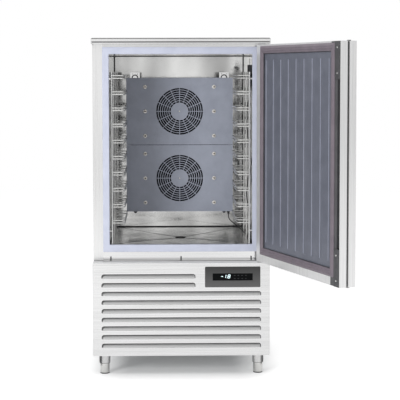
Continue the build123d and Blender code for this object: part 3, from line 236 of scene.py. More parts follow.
def overlay_painted_reflection(name, foot, top):
    """Overlay of the control bezel, satin: a painted reflection changes its tone from foot to top."""
    made, tree = new_finish(name)
    place = node(tree, "ShaderNodeTexCoord")
    height = node(tree, "ShaderNodeSeparateXYZ", {0: place.outputs["Object"]}).outputs["Z"]
    level = node(tree, "ShaderNodeMapRange", {"Value": height, "From Min": BEZEL_FOOT, "From Max": BEZEL_TOP})
    tone = node(tree, "ShaderNodeValToRGB", {"Fac": level.outputs[0]}, ((0.0, foot), (1.0, top)))
    grit = grain_field(tree, PRINT_GRIT_MM, detail=2.0)
    normal = node(tree, "ShaderNodeBump", {"Height": grit, "Strength": 0.03, "Distance": FINE_DEPTH})
    shader = node(tree, "ShaderNodeBsdfPrincipled", {
        "Base Color": tone.outputs[0], "Roughness": 0.42, "Specular IOR Level": 0.2,
        "Normal": normal.outputs[0],
    })
    node(tree, "ShaderNodeOutputMaterial", {"Surface": shader.outputs[0]})
    return made


def lit_segment(name, colour, strength):
    """Display segments, which glow evenly."""
    made, tree = new_finish(name)
    shader = node(tree, "ShaderNodeBsdfPrincipled", {
        "Base Color": linear(colour), "Roughness": 0.4,
        "Emission Color": linear(colour), "Emission Strength": strength,
    })
    node(tree, "ShaderNodeOutputMaterial", {"Surface": shader.outputs[0]})
    return made


# Finishes

# Ground 304 stainless sheet on the outside: pale, satin, reflections stretched across the strokes.
outer_upright = brushed_steel("Stainless_304_ground_upright", "DEDEDE", "ECECEC", 0.30, "Z")
outer_level = brushed_steel("Stainless_304_ground_level", "DCDCDC", "EAEAEA", 0.22, "X")

# The same sheet on the door, which is handled most: its grinding has gone hazy.
door_steel = brushed_steel("Stainless_304_ground_door", "DEDEDE", "ECECEC", 0.32, "Z", haze=0.55)

# Rails ground finer than the panels: brighter, with clearer reflections.
rail_steel = brushed_steel("Stainless_304_bright_rail", "CECECE", "DEDEDE", 0.14, "X", strokes=0.02)

# Ground sheet with pressed louvres: satin on the face, dull in the louvres and on the ledge. The louvres are
# greyer by painted shade and the ledge is near white by painted light.
louvred_front = pressed_front(
    "Stainless_304_pressed_louvres", "C6C6C6", "D6D6D6", hollow_shade="A8A8A8", ledge="FAFAFA", rough=0.26,
    dull_rough=0.55)

# Mill-finish stainless liner: smoother and a little wavy, so the chamber is full of soft broken reflections.
chamber_steel = mill_steel(
    "Stainless_304_mill_liner", "989897", "E0E0DF", 0.08, patch_mm=150.0, wave=0.10, along="Z", stretch=5.0)

# Pressed floor pan of the same sheet: paler and wavier.
floor_steel = mill_steel("Stainless_304_pressed_floor", "CECECD", "FFFFFE", 0.20, patch_mm=200.0, wave=0.35)

# Drawn tube: the same steel, duller and darker than the ground sheet.
tube_steel = brushed_steel("Stainless_tube_drawn", "B6B6B6", "CCCCCC", 0.26, "Z")

# Dark satin steel: the floor drain and the wire stops, and painted shade along the louvres' upper edges, the
# folds, the floor creases and the door's groove.
dark_steel_and_shade = brushed_steel("Stainless_dark_and_painted_shade", "4A4A4B", "5E5E5F", 0.40, "X")

# Dark grey and satin: silicone beads in the chamber corners, and painted shade in the panel joints, under the
# cap's front, in the slit round the gasket and under the leg sleeves.
silicone_and_shade_bead = moulded("Silicone_bead_and_painted_shade", "2E2E30", "3A3A3C", 0.5, 2.0, 0.04, specular=0.25)

# Hot-dip galvanised sheet: dull zinc, mottled.
zinc = brushed_steel("Galvanised_sheet", "8F9496", "B4B8BA", 0.45, "X")

# Drawn stainless wire, electropolished: bright lines with a soft haze.
wire_steel = brushed_steel(
    "Stainless_wire_electropolished", "D2D2D0", "E6E6E4", 0.22, "Y", strokes=0.01, haze=0.4)

# Copper tube, drawn and slightly oxidised: warm brown, satin.
copper = brushed_steel("Copper_tube_drawn", "A8613F", "C4805C", 0.30, "Z")

# Aluminium fin stock: pale and dull on the condenser; black on the evaporator, its side plates and fan
# straps, as painted shade behind the grille.
fins = brushed_steel("Aluminium_fin_stock", "A9ADB0", "C6C9CB", 0.42, "Z")
black_shade_fins = moulded("Fin_stock_black_painted_shade", "0B0B0D", "141417", 0.6, 2.0, specular=0.1)

# ABS thermal breaker, thermoformed: pale lavender, satin.
breaker_abs = moulded("ABS_thermal_breaker", "BEC3D4", "C9CDDD", 0.42)

# Plastisol-coated steel cover: blue-grey with a soft sheen.
cover_coat = moulded("Plastisol_coated_steel", "989DAB", "A3A8B6", 0.40, 1.6, 0.04)

# Thermoformed ABS door liner: darker blue-grey, satin.
liner_abs = moulded("ABS_door_liner", "5D606B", "676A75", 0.40)

# Crests of the liner's ribs, painted paler as a painted highlight where they catch the light.
rib_highlight_abs = moulded("ABS_liner_rib_painted_highlight", "8C90A0", "989CAB", 0.36)

# Extruded PVC gasket: soft mauve-grey with a slight sheen.
gasket_pvc = moulded("PVC_gasket_extruded", "6C646C", "786F77", 0.48, 0.8, 0.03)

# Glass-filled nylon grip, moulded: dark grey, matt. Its end blocks are a shade darker.
grip_nylon = moulded("Nylon_grip_moulded", "48484A", "565658", 0.45)
grip_end_nylon = moulded("Nylon_grip_end_moulded", "3E3E40", "49494B", 0.42)

# Acetal rivets: cream and waxy.
rivet_acetal = moulded("Acetal_rivet", "FAF4EA", "FFFDF8", 0.35)

# Cup washers of plated brass: bright, with a cream cast.
washer_plated = brushed_steel(
    "Brass_cup_washer_nickel_plated", "F4EEE6", "FFFCF6", 0.28, "X", strokes=0.01, haze=0.7)

# Cover screws, chemically blackened: dull brown-black.
screw_black = moulded("Steel_screw_blackened", "2A2320", "38302C", 0.5, 1.0, 0.04, specular=0.2)

# Moulded ABS clips, gland and control box: black, satin.
black_abs = moulded("ABS_black_moulded", "17171A", "222226", 0.38)

# Moulded polypropylene fan blades: black and matt.
fan_polymer = moulded("Polypropylene_fan_blade", "0C0C0E", "151518", 0.6, specular=0.08)

# Enamelled motor housings: black, with little gloss.
motor_enamel = moulded("Enamel_black_motor", "0E0E10", "17171A", 0.45, specular=0.15)

# Thick enamel on compressor and receiver: black under a thin clear gloss.
compressor_enamel = moulded("Enamel_black_compressor", "141416", "1E1E21", 0.28, 2.0, 0.06, coat=0.2)

# Moulded rubber mounts: dull black.
grommet_rubber = moulded("Rubber_mount", "1B1B1B", "262626", 0.7)

# Turned nylon bushes: dark grey, satin.
hinge_nylon = moulded("Nylon_hinge_bush", "2A2A2C", "363638", 0.45)

# Foamed polyurethane: buff, dull and coarse.
foam = moulded("Polyurethane_foam", "CDBE90", "DCCFA6", 0.8, 3.0, 0.15)

# PVC-sheathed cable: black with a slight sheen.
cable_pvc = moulded("PVC_cable_sheath", "161618", "212124", 0.42, 0.8, 0.03)

# Smoked acrylic window: deep black gloss.
window_acrylic = moulded("Acrylic_display_window", "08090A", "0E0F10", 0.15, 30.0, 0.01, specular=0.04)

# Probe: black silicone grip below, steel needle above.
probe_finish = split_finish(
    "Silicone_grip_and_steel_needle", 1.3446, below=("1A1A1C", 0.0, 0.5), above=("D0D0CE", 1.0, 0.2))

# Levelling feet: turned stainless on a dark nylon sole.
foot_finish = split_finish(
    "Stainless_turned_foot_nylon_sole", 0.005, below=("2C2C2E", 0.0, 0.5), above=("C4C4C2", 1.0, 0.26))

# Polycarbonate overlay: grey at the foot, darker at the top, as a painted reflection.
bezel_painted_reflection = overlay_painted_reflection("Polycarbonate_overlay_painted_reflection", foot="606060", top="3C3C3C")

# Display segments: cool white where they are lit; the unlit marks are dark grey with a faint painted glow, so
# they hardly show.
digit_glow = lit_segment("Display_segment_lit", "DDF4F7", 0.9)
icon_painted_glow = lit_segment("Display_icon_painted_glow", "2B2E2F", 0.25)

finish_of_node = {
    outer_upright: ("side_panel_left", "side_panel_right", "rear_panel", "hinge_brackets"),
    door_steel: ("door_skin",),
    tube_steel: ("leg_sleeves",),
    outer_level: ("top_cap", "hinge_pins", "cover_hangers"),
    rail_steel: ("frame_rails",),
    louvred_front: ("base_front_panel",),
    chamber_steel: ("cavity_liner", "rack_studs"),
    floor_steel: ("cavity_floor",),
    dark_steel_and_shade: ("floor_drain",),
    zinc: ("rear_vent_panel", "deck_plate", "base_chassis",
           "condenser_shroud", "compressor_plate", "electrical_box", "condensate_tray"),
    fins: ("condenser_core",),
    black_shade_fins: ("evaporator_coil", "evaporator_side_plates", "fan_straps"),
    copper: ("refrigerant_pipes",),
    breaker_abs: ("breaker_frame",),
    cover_coat: ("evaporator_cover_upper", "evaporator_cover_lower"),
    liner_abs: ("door_liner",),
    grip_nylon: ("door_grip",),
    grip_end_nylon: ("door_grip_ends",),
    black_abs: ("cover_clips", "probe_clip", "cable_gland", "control_box"),
    fan_polymer: ("fan_rotor_upper", "fan_rotor_lower", "condenser_fan"),
    motor_enamel: ("fan_motors", "condenser_motor"),
    compressor_enamel: ("compressor", "liquid_receiver"),
    grommet_rubber: ("compressor_grommets",),
    hinge_nylon: ("hinge_bushes",),
    foam: ("cabinet_foam", "door_foam"),
    window_acrylic: ("display_window",),
    bezel_painted_reflection: ("control_bezel",),
    probe_finish: ("core_probe",),
    foot_finish: ("foot_front_left", "foot_front_right", "foot_rear_left", "foot_rear_right"),
    rivet_acetal: ("cover_screws",),
    wire_steel: ("tray_rack_left", "tray_rack_right"),
    gasket_pvc: ("door_gasket",),
    cable_pvc: ("probe_cable",),
}
for finish, names in finish_of_node.items():
    for name in names:
        nodes[name].data.materials.clear()
        nodes[name].data.materials.append(finish)


# Camera at the photograph's place, turned slightly down and to the right

CAMERA_AT = (-0.07508, -6.05279, 1.34)
CAMERA_PAN, CAMERA_TILT, CAMERA_ROLL = 0.0187, 0.0676, -0.0019
LENS_MM, LENS_SHIFT = 115.42, (0.03, -0.10)


def aim_camera():
    """Make the scene's camera from its place, its turn and its lens."""
    ahead = Vector((
        sin(CAMERA_PAN) * cos(CAMERA_TILT), cos(CAMERA_PAN) * cos(CAMERA_TILT), -sin(CAMERA_TILT)))
    right = Vector((cos(CAMERA_PAN), -sin(CAMERA_PAN), 0.0))
    right = right * cos(CAMERA_ROLL) + right.cross(ahead) * sin(CAMERA_ROLL)
    up = right.cross(ahead)
    lens = bpy.data.cameras.new("Camera")
    lens.lens = LENS_MM
    lens.shift_x, lens.shift_y = LENS_SHIFT
    camera = bpy.data.objects.new("Camera", lens)
    camera.matrix_world = Matrix((
        (right.x, up.x, -ahead.x, CAMERA_AT[0]),
        (right.y, up.y, -ahead.y, CAMERA_AT[1]),
        (right.z, up.z, -ahead.z, CAMERA_AT[2]),
        (0, 0, 0, 1),
    ))
    bpy.context.scene.collection.objects.link(camera)
    bpy.context.scene.camera = camera


aim_camera()


def place_piece(name, mesh, body, slot, *replaced):
    """Link a finished mesh or curve as a piece of the object, riding on a body."""
    piece = bpy.data.objects.new(name, mesh)
    bpy.context.scene.collection.objects.link(piece)
    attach(piece, body)
    if replaced:
        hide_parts(*replaced)
    return piece


# Probe cable: from the gland under the cover, over the floor and up the right wall to the probe

CABLE_ROUTE_MM = (
    (235, 112, 662), (235, 112, 642), (247, 112.5, 627), (268, 106, 611), (290, 88, 594), (304, 50, 580.5),
    (311.5, 2, 575.4), (315.2, -50, 574.8), (316.2, -98, 574.7), (315, -152, 574.8), (315.6, -206, 574.7),
    (315.2, -240.2, 574.9), (315.4, -256.5, 585.2), (315.6, -264.7, 602.8), (315.3, -245, 651.1),
    (313.8, -245, 683.2), (308.3, -266, 717.5), (302.6, -269.1, 749.8), (300.6, -236, 778),
    (304.6, -188, 805.2), (311.1, -151.9, 844.1), (315.8, -164, 893.2), (316, -206, 928.1), (314, -257, 968),
    (310.5, -269.1, 1005), (308.2, -233, 1039.9), (307.3, -185, 1063.6), (307.5, -151.9, 1104.4),
    (306.9, -161, 1147.1), (307, -194, 1185.2), (309.5, -218, 1213.1), (313.2, -235, 1231),
    (313.2, -235, 1256.7),
)
CABLE_RADIUS = 2.25 * MM


def lay_cable():
    """Draw the cable as one smooth curve along its route."""
    line = bpy.data.curves.new("probe_cable_line", "CURVE")
    line.dimensions = "3D"
    run = line.splines.new("NURBS")
    run.points.add(len(CABLE_ROUTE_MM) - 1)
    for point, place in zip(run.points, CABLE_ROUTE_MM):
        point.co = [value * MM for value in place] + [1.0]
    run.order_u = 3
    run.use_endpoint_u = True
    run.resolution_u = 8
    line.bevel_depth = CABLE_RADIUS
    line.bevel_resolution = 3
    line.use_fill_caps = True
    line.materials.append(cable_pvc)
    piece = place_piece("probe_cable_sheath", line, "cabinet", "cable_black", "probe_cable")


lay_cable()


# Trees that repeat a shape

BEND_STEPS = 6


def new_tree(name, sizes, whole=()):
    """A geometry tree with named inputs: lengths, whole numbers, a turn and a finish."""
    tree = bpy.data.node_groups.new(name, "GeometryNodeTree")
    face = tree.interface
    face.new_socket("Geometry", in_out="INPUT", socket_type="NodeSocketGeometry")
    for size in sizes:
        face.new_socket(size, in_out="INPUT", socket_type="NodeSocketFloat")
    for count in whole:
        face.new_socket(count, in_out="INPUT", socket_type="NodeSocketInt")
    face.new_socket("Turn", in_out="INPUT", socket_type="NodeSocketVector")
    face.new_socket("Finish", in_out="INPUT", socket_type="NodeSocketMaterial")
    face.new_socket("Geometry", in_out="OUTPUT", socket_type="NodeSocketGeometry")
    return tree, node(tree, "NodeGroupInput").outputs


def end_tree(tree, geometry, finish):
    """Realise the copies, give them their finish and close the tree."""
    real = node(tree, "GeometryNodeRealizeInstances", {0: geometry})
    smooth = node(tree, "GeometryNodeSetShadeSmooth", {0: real.outputs[0], "Shade Smooth": True})
    dressed = node(tree, "GeometryNodeSetMaterial", {"Geometry": smooth.outputs[0], "Material": finish})
    node(tree, "NodeGroupOutput", {0: dressed.outputs[0]})
    return tree


def grow(name, tree, points, edges, sizes, finish, turn=(0, 0, 0)):
    """Run a tree on seed points and keep the result as a plain mesh."""
    seed = bpy.data.meshes.new(name + "_seed")
    seed.from_pydata(points, edges, [])
    holder = bpy.data.objects.new(name + "_seed", seed)
    bpy.context.scene.collection.objects.link(holder)
    modifier = holder.modifiers.new("grow", "NODES")
    modifier.node_group = tree
    values = {**sizes, "Finish": finish, "Turn": turn}
    for item in tree.interface.items_tree:
        if item.in_out == "INPUT" and item.name in values:
            modifier[item.identifier] = values[item.name]
    depsgraph = bpy.context.evaluated_depsgraph_get()
    mesh = bpy.data.meshes.new_from_object(holder.evaluated_get(depsgraph))
    holder.modifiers.clear()
    bpy.data.objects.remove(holder)
    mesh.name = name
    # A primitive in the tree brings an empty slot of its own, so only the finish is kept.
    mesh.materials.clear()
    mesh.materials.append(finish)
    mesh.polygons.foreach_set("material_index", [0] * len(mesh.polygons))
    return mesh


def turned_head_tree():
    """A turned head on every point: a foot cone, a shoulder cone and a flat top."""
    tree, given = new_tree(
        "Turned_heads", ("Foot radius", "Shoulder radius", "Top radius", "Foot height", "Shoulder height"),
        ("Sides",))
    foot = node(tree, "GeometryNodeMeshCone", {
        "Vertices": given["Sides"], "Depth": given["Foot height"],
        "Radius Top": given["Shoulder radius"], "Radius Bottom": given["Foot radius"],
    })
    shoulder = node(tree, "GeometryNodeMeshCone", {
        "Vertices": given["Sides"], "Depth": given["Shoulder height"],
        "Radius Top": given["Top radius"], "Radius Bottom": given["Shoulder radius"],
    })
    lift = node(tree, "ShaderNodeCombineXYZ", {2: given["Foot height"]})
    raised = node(tree, "GeometryNodeTransform", {0: shoulder.outputs[0], "Translation": lift.outputs[0]})
    head = node(tree, "GeometryNodeJoinGeometry", {0: foot.outputs[0]})
    tree.links.new(raised.outputs[0], head.inputs[0])
    copies = node(tree, "GeometryNodeInstanceOnPoints", {
        "Points": given["Geometry"], "Instance": head.outputs[0], "Rotation": given["Turn"],
    })
    return end_tree(tree, copies.outputs[0], given["Finish"])


def bent_rods(tree, given):
    """A round rod along every line of the seed, bent at its corners."""
    line = node(tree, "GeometryNodeMeshToCurve", {0: given["Geometry"]})
    bent = node(tree, "GeometryNodeFilletCurve", {
        "Curve": line.outputs[0], "Radius": given["Bend radius"], "Count": BEND_STEPS,
    }, mode="POLY")
    section = node(tree, "GeometryNodeCurvePrimitiveCircle", {
        "Resolution": given["Sides"], "Radius": given["Rod radius"],
    })
    return node(tree, "GeometryNodeCurveToMesh", {
        "Curve": bent.outputs[0], "Profile Curve": section.outputs[0], "Fill Caps": True,
    }).outputs[0]


def wire_runner_tree():
    """Bent runner wires in pairs at every level; the seed is one wire's line."""
    tree, given = new_tree(
        "Wire_runners", ("Rod radius", "Bend radius", "Level pitch", "Pair gap"), ("Levels", "Sides"))
    wire = bent_rods(tree, given)
    lift = node(tree, "ShaderNodeCombineXYZ", {2: given["Pair gap"]})
    upper = node(tree, "GeometryNodeTransform", {0: wire, "Translation": lift.outputs[0]})
    pair = node(tree, "GeometryNodeJoinGeometry", {0: wire})
    tree.links.new(upper.outputs[0], pair.inputs[0])
    step = node(tree, "ShaderNodeCombineXYZ", {2: given["Level pitch"]})
    levels = node(tree, "GeometryNodeMeshLine", {"Count": given["Levels"], "Offset": step.outputs[0]})
    copies = node(tree, "GeometryNodeInstanceOnPoints", {
        "Points": levels.outputs[0], "Instance": pair.outputs[0],
    })
    return end_tree(tree, copies.outputs[0], given["Finish"])


def rod_tree():
    """Bent rods, one along every line of the seed."""
    tree, given = new_tree("Round_rods", ("Rod radius", "Bend radius"), ("Sides",))
    return end_tree(tree, bent_rods(tree, given), given["Finish"])


heads = turned_head_tree()
runners = wire_runner_tree()
rods = rod_tree()


# What several pieces are made with

def new_mesh(name, points, faces, finish):
    """A mesh in one finish, from its points and faces."""
    mesh = bpy.data.meshes.new(name)
    mesh.from_pydata(points, [], faces)
    mesh.materials.append(finish)
    return mesh


def join_meshes(name, *meshes):
    """Several meshes as one, with their finishes."""
    whole = bmesh.new()
    finishes = []
    for mesh in meshes:
        finish = mesh.materials[0]
        if finish not in finishes:
            finishes.append(finish)
        for face in mesh.polygons:
            face.material_index = finishes.index(finish)
        whole.from_mesh(mesh)
    joined = bpy.data.meshes.new(name)
    whole.to_mesh(joined)
    whole.free()
    for finish in finishes:
        joined.materials.append(finish)
    return joined


def turned_heads(name, spots, radii, heights, sides, finish, turn):
    """Turned heads on spots: radii at foot, shoulder and top, and the heights of foot and shoulder."""
    sizes = dict(zip(("Foot radius", "Shoulder radius", "Top radius"), radii))
    sizes.update(zip(("Foot height", "Shoulder height"), heights))
    return grow(name, heads, spots, [], {**sizes, "Sides": sides}, finish, turn)


ROD_SIDES = 8


def lay_rods(name, lines, finish, radius, bend=0.0):
    """Rods along several open lines of points, as one mesh."""
    points, edges = [], []
    for line in lines:
        edges.extend((len(points) + k, len(points) + k + 1) for k in range(len(line) - 1))
        points.extend(line)
    sizes = {"Rod radius": radius, "Bend radius": bend, "Sides": ROD_SIDES}
    return grow(name, rods, points, edges, sizes, finish)


def cabinet_rods(name, lines, finish, slot, radius, bend=0.0):
    """Rods along several open lines, as one piece of the cabinet."""
    place_piece(name, lay_rods(name, lines, finish, radius, bend), "cabinet", slot)


# Door pieces are drawn with the door shut and swung open with it
HINGE, DOOR_OPEN = Vector((0.380, -0.383, 0.0)), radians(110)
SWING = Matrix.Translation(HINGE) @ Matrix.Rotation(DOOR_OPEN, 4, "Z") @ Matrix.Translation(-HINGE)


def door_rods(name, lines, finish, slot, radius):
    """Rods along several open lines, as one piece of the door."""
    mesh = lay_rods(name, lines, finish, radius)
    mesh.transform(SWING)
    place_piece(name, mesh, "door", slot)


def level_line(half, y, z):
    """A line from side to side."""
    return [(-half, y, z), (half, y, z)]


def upright_line(x, y, low, high):
    """A line straight up."""
    return [(x, y, low), (x, y, high)]


# Tray racks: bent runners in pairs, cross wires and three posts on each side

RACK_POST_X, RACK_REACH, RACK_FRONT, RACK_REAR = 0.308, 0.056, -0.310, 0.082
RACK_FIRST, RACK_PITCH, RACK_LEVELS, RACK_PAIR_GAP = 0.668, 0.0722, 10, 0.012
RACK_FOOT, RACK_TOP, RACK_POST_RADIUS, RACK_POST_SIDES = 0.5723, 1.3458, 0.004, 14
# The wires end inside the posts, at their welds
RACK_WELD, RACK_WIRE_RADIUS, RACK_WIRE_SIDES, RACK_BEND = 0.0035, 0.0025, 10, 0.012


def build_rack(side, hand):
    """The rack on one side: -1 and left, or 1 and right."""
    name = "tray_rack_wires_" + hand
    post_x = side * RACK_POST_X
    weld_x = side * (RACK_POST_X - RACK_WELD)
    inner_x = side * (RACK_POST_X - RACK_REACH)
    middle = (RACK_FRONT + RACK_REAR) / 2
    bends = grow(name + "_runners", runners, [
        (weld_x, RACK_FRONT, RACK_FIRST), (inner_x, RACK_FRONT, RACK_FIRST),
        (inner_x, RACK_REAR, RACK_FIRST), (weld_x, RACK_REAR, RACK_FIRST),
    ], [(0, 1), (1, 2), (2, 3)], {
        "Rod radius": RACK_WIRE_RADIUS, "Bend radius": RACK_BEND, "Level pitch": RACK_PITCH,
        "Pair gap": RACK_PAIR_GAP, "Levels": RACK_LEVELS, "Sides": RACK_WIRE_SIDES,
    }, wire_steel)
    levels = [RACK_FIRST + RACK_PITCH * k for k in range(RACK_LEVELS)]
    cross_points = [(x, middle, z) for z in levels for x in (weld_x, inner_x)]
    cross = grow(name + "_cross", rods, cross_points, [(2 * k, 2 * k + 1) for k in range(RACK_LEVELS)],
                 {"Rod radius": RACK_WIRE_RADIUS, "Sides": RACK_WIRE_SIDES}, wire_steel)
    post_points = [(post_x, y, z) for y in (RACK_FRONT, middle, RACK_REAR) for z in (RACK_FOOT, RACK_TOP)]
    posts = grow(name + "_posts", rods, post_points, [(0, 1), (2, 3), (4, 5)],
                 {"Rod radius": RACK_POST_RADIUS, "Sides": RACK_POST_SIDES}, wire_steel)
    place_piece(name, join_meshes(name, bends, cross, posts), "cabinet", "rack_wire", "tray_rack_" + hand)


build_rack(1, "right")
build_rack(-1, "left")

# Cover screws: plated cup washers with domed, blackened heads, on the cover's face

FACING_FRONT = (radians(90), 0, 0)
FACING_REAR = (radians(-90), 0, 0)
COVER_Y, GRILLE_LEVELS = 0.095, (0.8365, 1.1575)
COVER_SCREW_X, COVER_SCREW_STEP, WASHER_RISE = 0.165, 0.1175, 0.003
screw_spots = [
    (side * COVER_SCREW_X, COVER_Y, level + step * COVER_SCREW_STEP)
    for level in GRILLE_LEVELS for side in (-1, 1) for step in (-1, 0, 1)
]
washers = turned_heads(
    "cover_washers", screw_spots, radii=(0.0095, 0.0093, 0.0084), heights=(0.0018, 0.0012), sides=28,
    finish=washer_plated, turn=FACING_FRONT)
screw_tops = [(x, y - WASHER_RISE, z) for x, y, z in screw_spots]
screw_heads = turned_heads(
    "cover_screw_heads", screw_tops, radii=(0.0037, 0.0033, 0.0018), heights=(0.0011, 0.0008), sides=16,
    finish=screw_black, turn=FACING_FRONT)
place_piece("cover_screw_set", join_meshes("cover_screw_set", washers, screw_heads), "cabinet",
            "washer_cream", "cover_screws")

# Rivets in the middle of each grille
rivets = turned_heads(
    "grille_rivets", [(0.0, COVER_Y, level) for level in GRILLE_LEVELS], radii=(0.0034, 0.0030, 0.0016),
    heights=(0.0008, 0.0006), sides=16, finish=rivet_acetal, turn=FACING_FRONT)
place_piece("grille_rivets", rivets, "cabinet", "washer_cream")

# Louvres: a dark rod of painted shade along the upper edge of each, where its slit lies in shadow, round its
# two corners and part of the way down its ends.
# The first two are short, beside the control bezel.

LOUVRES, SHORT_LOUVRES, LOUVRE_TOP, LOUVRE_PITCH, LOUVRE_ENDS = 9, 2, 0.449, 0.0388, 0.016
LOUVRE_LEFT, LOUVRE_RIGHT, SHORT_RIGHT = -0.353, 0.353, 0.061
louvre_lines = []
for number in range(LOUVRES):
    right = SHORT_RIGHT if number < SHORT_LOUVRES else LOUVRE_RIGHT
    top = LOUVRE_TOP - LOUVRE_PITCH * number
    louvre_lines.append([
        (LOUVRE_LEFT, FRONT_Y, top - LOUVRE_ENDS), (LOUVRE_LEFT, FRONT_Y, top),
        (right, FRONT_Y, top), (right, FRONT_Y, top - LOUVRE_ENDS),
    ])
cabinet_rods("louvre_edge_shade", louvre_lines, dark_steel_and_shade, "stainless_outer", radius=0.0016, bend=0.009)

# Painted shade: dark lines in the panel joints along the foot of stiles and rail, and along the fold of the
# cap for the shadow gap under it

STILE_X, SHELL_X, STILE_Y, RAIL_Y, JOINT_Z = 0.349, 0.391, -0.3305, -0.3385, 0.4995
CAP_FOLD_Y, CAP_FOLD_Z = -0.4085, 1.4768
joint_shade_lines = [level_line(STILE_X, RAIL_Y, JOINT_Z)] + [
    [(left, STILE_Y, JOINT_Z), (right, STILE_Y, JOINT_Z)]
    for left, right in ((-SHELL_X, -STILE_X), (STILE_X, SHELL_X))
]
cabinet_rods("panel_joint_shade_lines", joint_shade_lines, silicone_and_shade_bead, "mount_rubber", radius=0.0017)
cabinet_rods("cap_front_shade_line", [level_line(SHELL_X, CAP_FOLD_Y, CAP_FOLD_Z)], silicone_and_shade_bead,
             "mount_rubber", radius=0.0030)

# Return lip of the cap: folded in under the overhang up to the rail, with its hem against the front skirt

LIP_HALF = 0.389
# (y, z) round the folded section
LIP_SECTION = (
    (-0.4086, 1.4702), (-0.3302, 1.4702), (-0.3302, 1.4711), (-0.4070, 1.4711), (-0.4077, 1.4718),
    (-0.4077, 1.4765), (-0.4086, 1.4765),
)


def fold_strip(name, section, half, finish):
    """A folded strip of sheet: one closed section drawn out to both sides."""
    count = len(section)
    points = [(side * half, y, z) for side in (-1, 1) for y, z in section]
    faces = [(k, (k + 1) % count, count + (k + 1) % count, count + k) for k in range(count)]
    faces += [tuple(reversed(range(count))), tuple(range(count, 2 * count))]
    return new_mesh(name, points, faces, finish)


place_piece("cap_return_lip", fold_strip("cap_return_lip", LIP_SECTION, LIP_HALF, outer_level), "cabinet",
            "stainless_outer")

# Chamber corners: a bead along the back wall's edges and the floor's sides, thickest under the back wall

WALL_X, BACK_Y, MOUTH_Y, FLOOR_Z, ROOF_Z = 0.3185, 0.3385, -0.314, 0.5735, 1.4235
corner_lines = [level_line(WALL_X, BACK_Y, ROOF_Z)]
corner_lines += [upright_line(x, BACK_Y, FLOOR_Z, ROOF_Z) for x in (-WALL_X, WALL_X)]
corner_lines += [[(x, MOUTH_Y, FLOOR_Z), (x, BACK_Y, FLOOR_Z)] for x in (-WALL_X, WALL_X)]
corners = lay_rods("chamber_corner_beads", corner_lines, silicone_and_shade_bead, radius=0.0020)
skirting = lay_rods("chamber_back_bead", [level_line(WALL_X, BACK_Y, FLOOR_Z)], silicone_and_shade_bead, radius=0.0034)
place_piece("chamber_corner_beads", join_meshes("chamber_corner_beads", corners, skirting), "cabinet",
            "mount_rubber")

# Creases pressed in the floor, from its four corners to the drain, drawn as thin dark rods of painted shade

CREASE_X, CREASE_REAR, CREASE_FRONT, CREASE_HIGH = 0.303, 0.325, -0.300, 0.5716
DRAIN_Y, DRAIN_HALF, CREASE_LOW = -0.040, 0.024, 0.5669
crease_lines = [
    [(side * CREASE_X, y, CREASE_HIGH), (side * DRAIN_HALF, DRAIN_Y + way * DRAIN_HALF, CREASE_LOW)]
    for side in (-1, 1) for y, way in ((CREASE_REAR, 1), (CREASE_FRONT, -1))
]
cabinet_rods("floor_crease_shade", crease_lines, dark_steel_and_shade, "stainless_inner", radius=0.0010)

# Dark rings of painted shade under the four leg sleeves, where sleeve meets foot, clear of the feet that
# slide in them

LEG_X, LEG_YS, SLEEVE_FOOT_Z, SHADE_RING_RADIUS, SHADE_RING_STEPS = 0.343, (-0.372, 0.343), 0.0484, 0.0231, 24
turns = [radians(360 / SHADE_RING_STEPS * k) for k in range(SHADE_RING_STEPS + 1)]
sleeve_shade_lines = [
    [(side * LEG_X + SHADE_RING_RADIUS * cos(a), y + SHADE_RING_RADIUS * sin(a), SLEEVE_FOOT_Z) for a in turns]
    for side in (-1, 1) for y in LEG_YS
]
cabinet_rods("sleeve_shade_rings", sleeve_shade_lines, silicone_and_shade_bead, "mount_rubber", radius=0.0013)

# Three wire stops that lie on the lower rail's slope and turn up its face, clear of the shut door

STOP_XS = (-0.315, 0.0, 0.315)
# (y, z) along the wire
STOP_LINE = ((-0.3375, 0.5010), (-0.3318, 0.5105), (-0.3318, 0.5190))
cabinet_rods("ledge_pins", [[(x, y, z) for y, z in STOP_LINE] for x in STOP_XS], dark_steel_and_shade,
             "stainless_outer", radius=0.0029, bend=0.002)

# Painted shade: thin dark rods at folds, halfway down the lower rail's slope and down the base front's sides

SLOPE_HALF, SLOPE_Y, SLOPE_Z = 0.348, -0.3340, 0.5062
FOLD_X, FOLD_Y, FOLD_LOW, FOLD_HIGH = 0.3925, -0.4088, 0.086, 0.497
fold_lines = [level_line(SLOPE_HALF, SLOPE_Y, SLOPE_Z)]
fold_lines += [upright_line(side * FOLD_X, FOLD_Y, FOLD_LOW, FOLD_HIGH) for side in (-1, 1)]
cabinet_rods("sheet_fold_shade_lines", fold_lines, dark_steel_and_shade, "stainless_outer", radius=0.0009)

# Door gasket: one extruded profile, mitred at the four corners

GASKET_HALF, GASKET_LOW, GASKET_HIGH, DOOR_BACK = 0.349, 0.540, 1.457, -0.340
# (distance in from the outer edge, height over the door's inner face), round the section
GASKET_PROFILE_MM = (
    (0.0, 0.0), (0.0, 2.2), (0.9, 3.4), (2.4, 4.2), (4.2, 4.9), (5.6, 6.2), (7.4, 7.2), (9.8, 7.6),
    (12.4, 7.6), (13.4, 7.2), (14.0, 6.4), (14.8, 6.4), (15.4, 7.2), (16.6, 7.6), (19.2, 7.5), (21.2, 7.0),
    (22.6, 5.8), (23.8, 4.4), (26.4, 3.8), (29.4, 3.2), (31.2, 2.2), (32.0, 0.9), (32.0, 0.0),
)


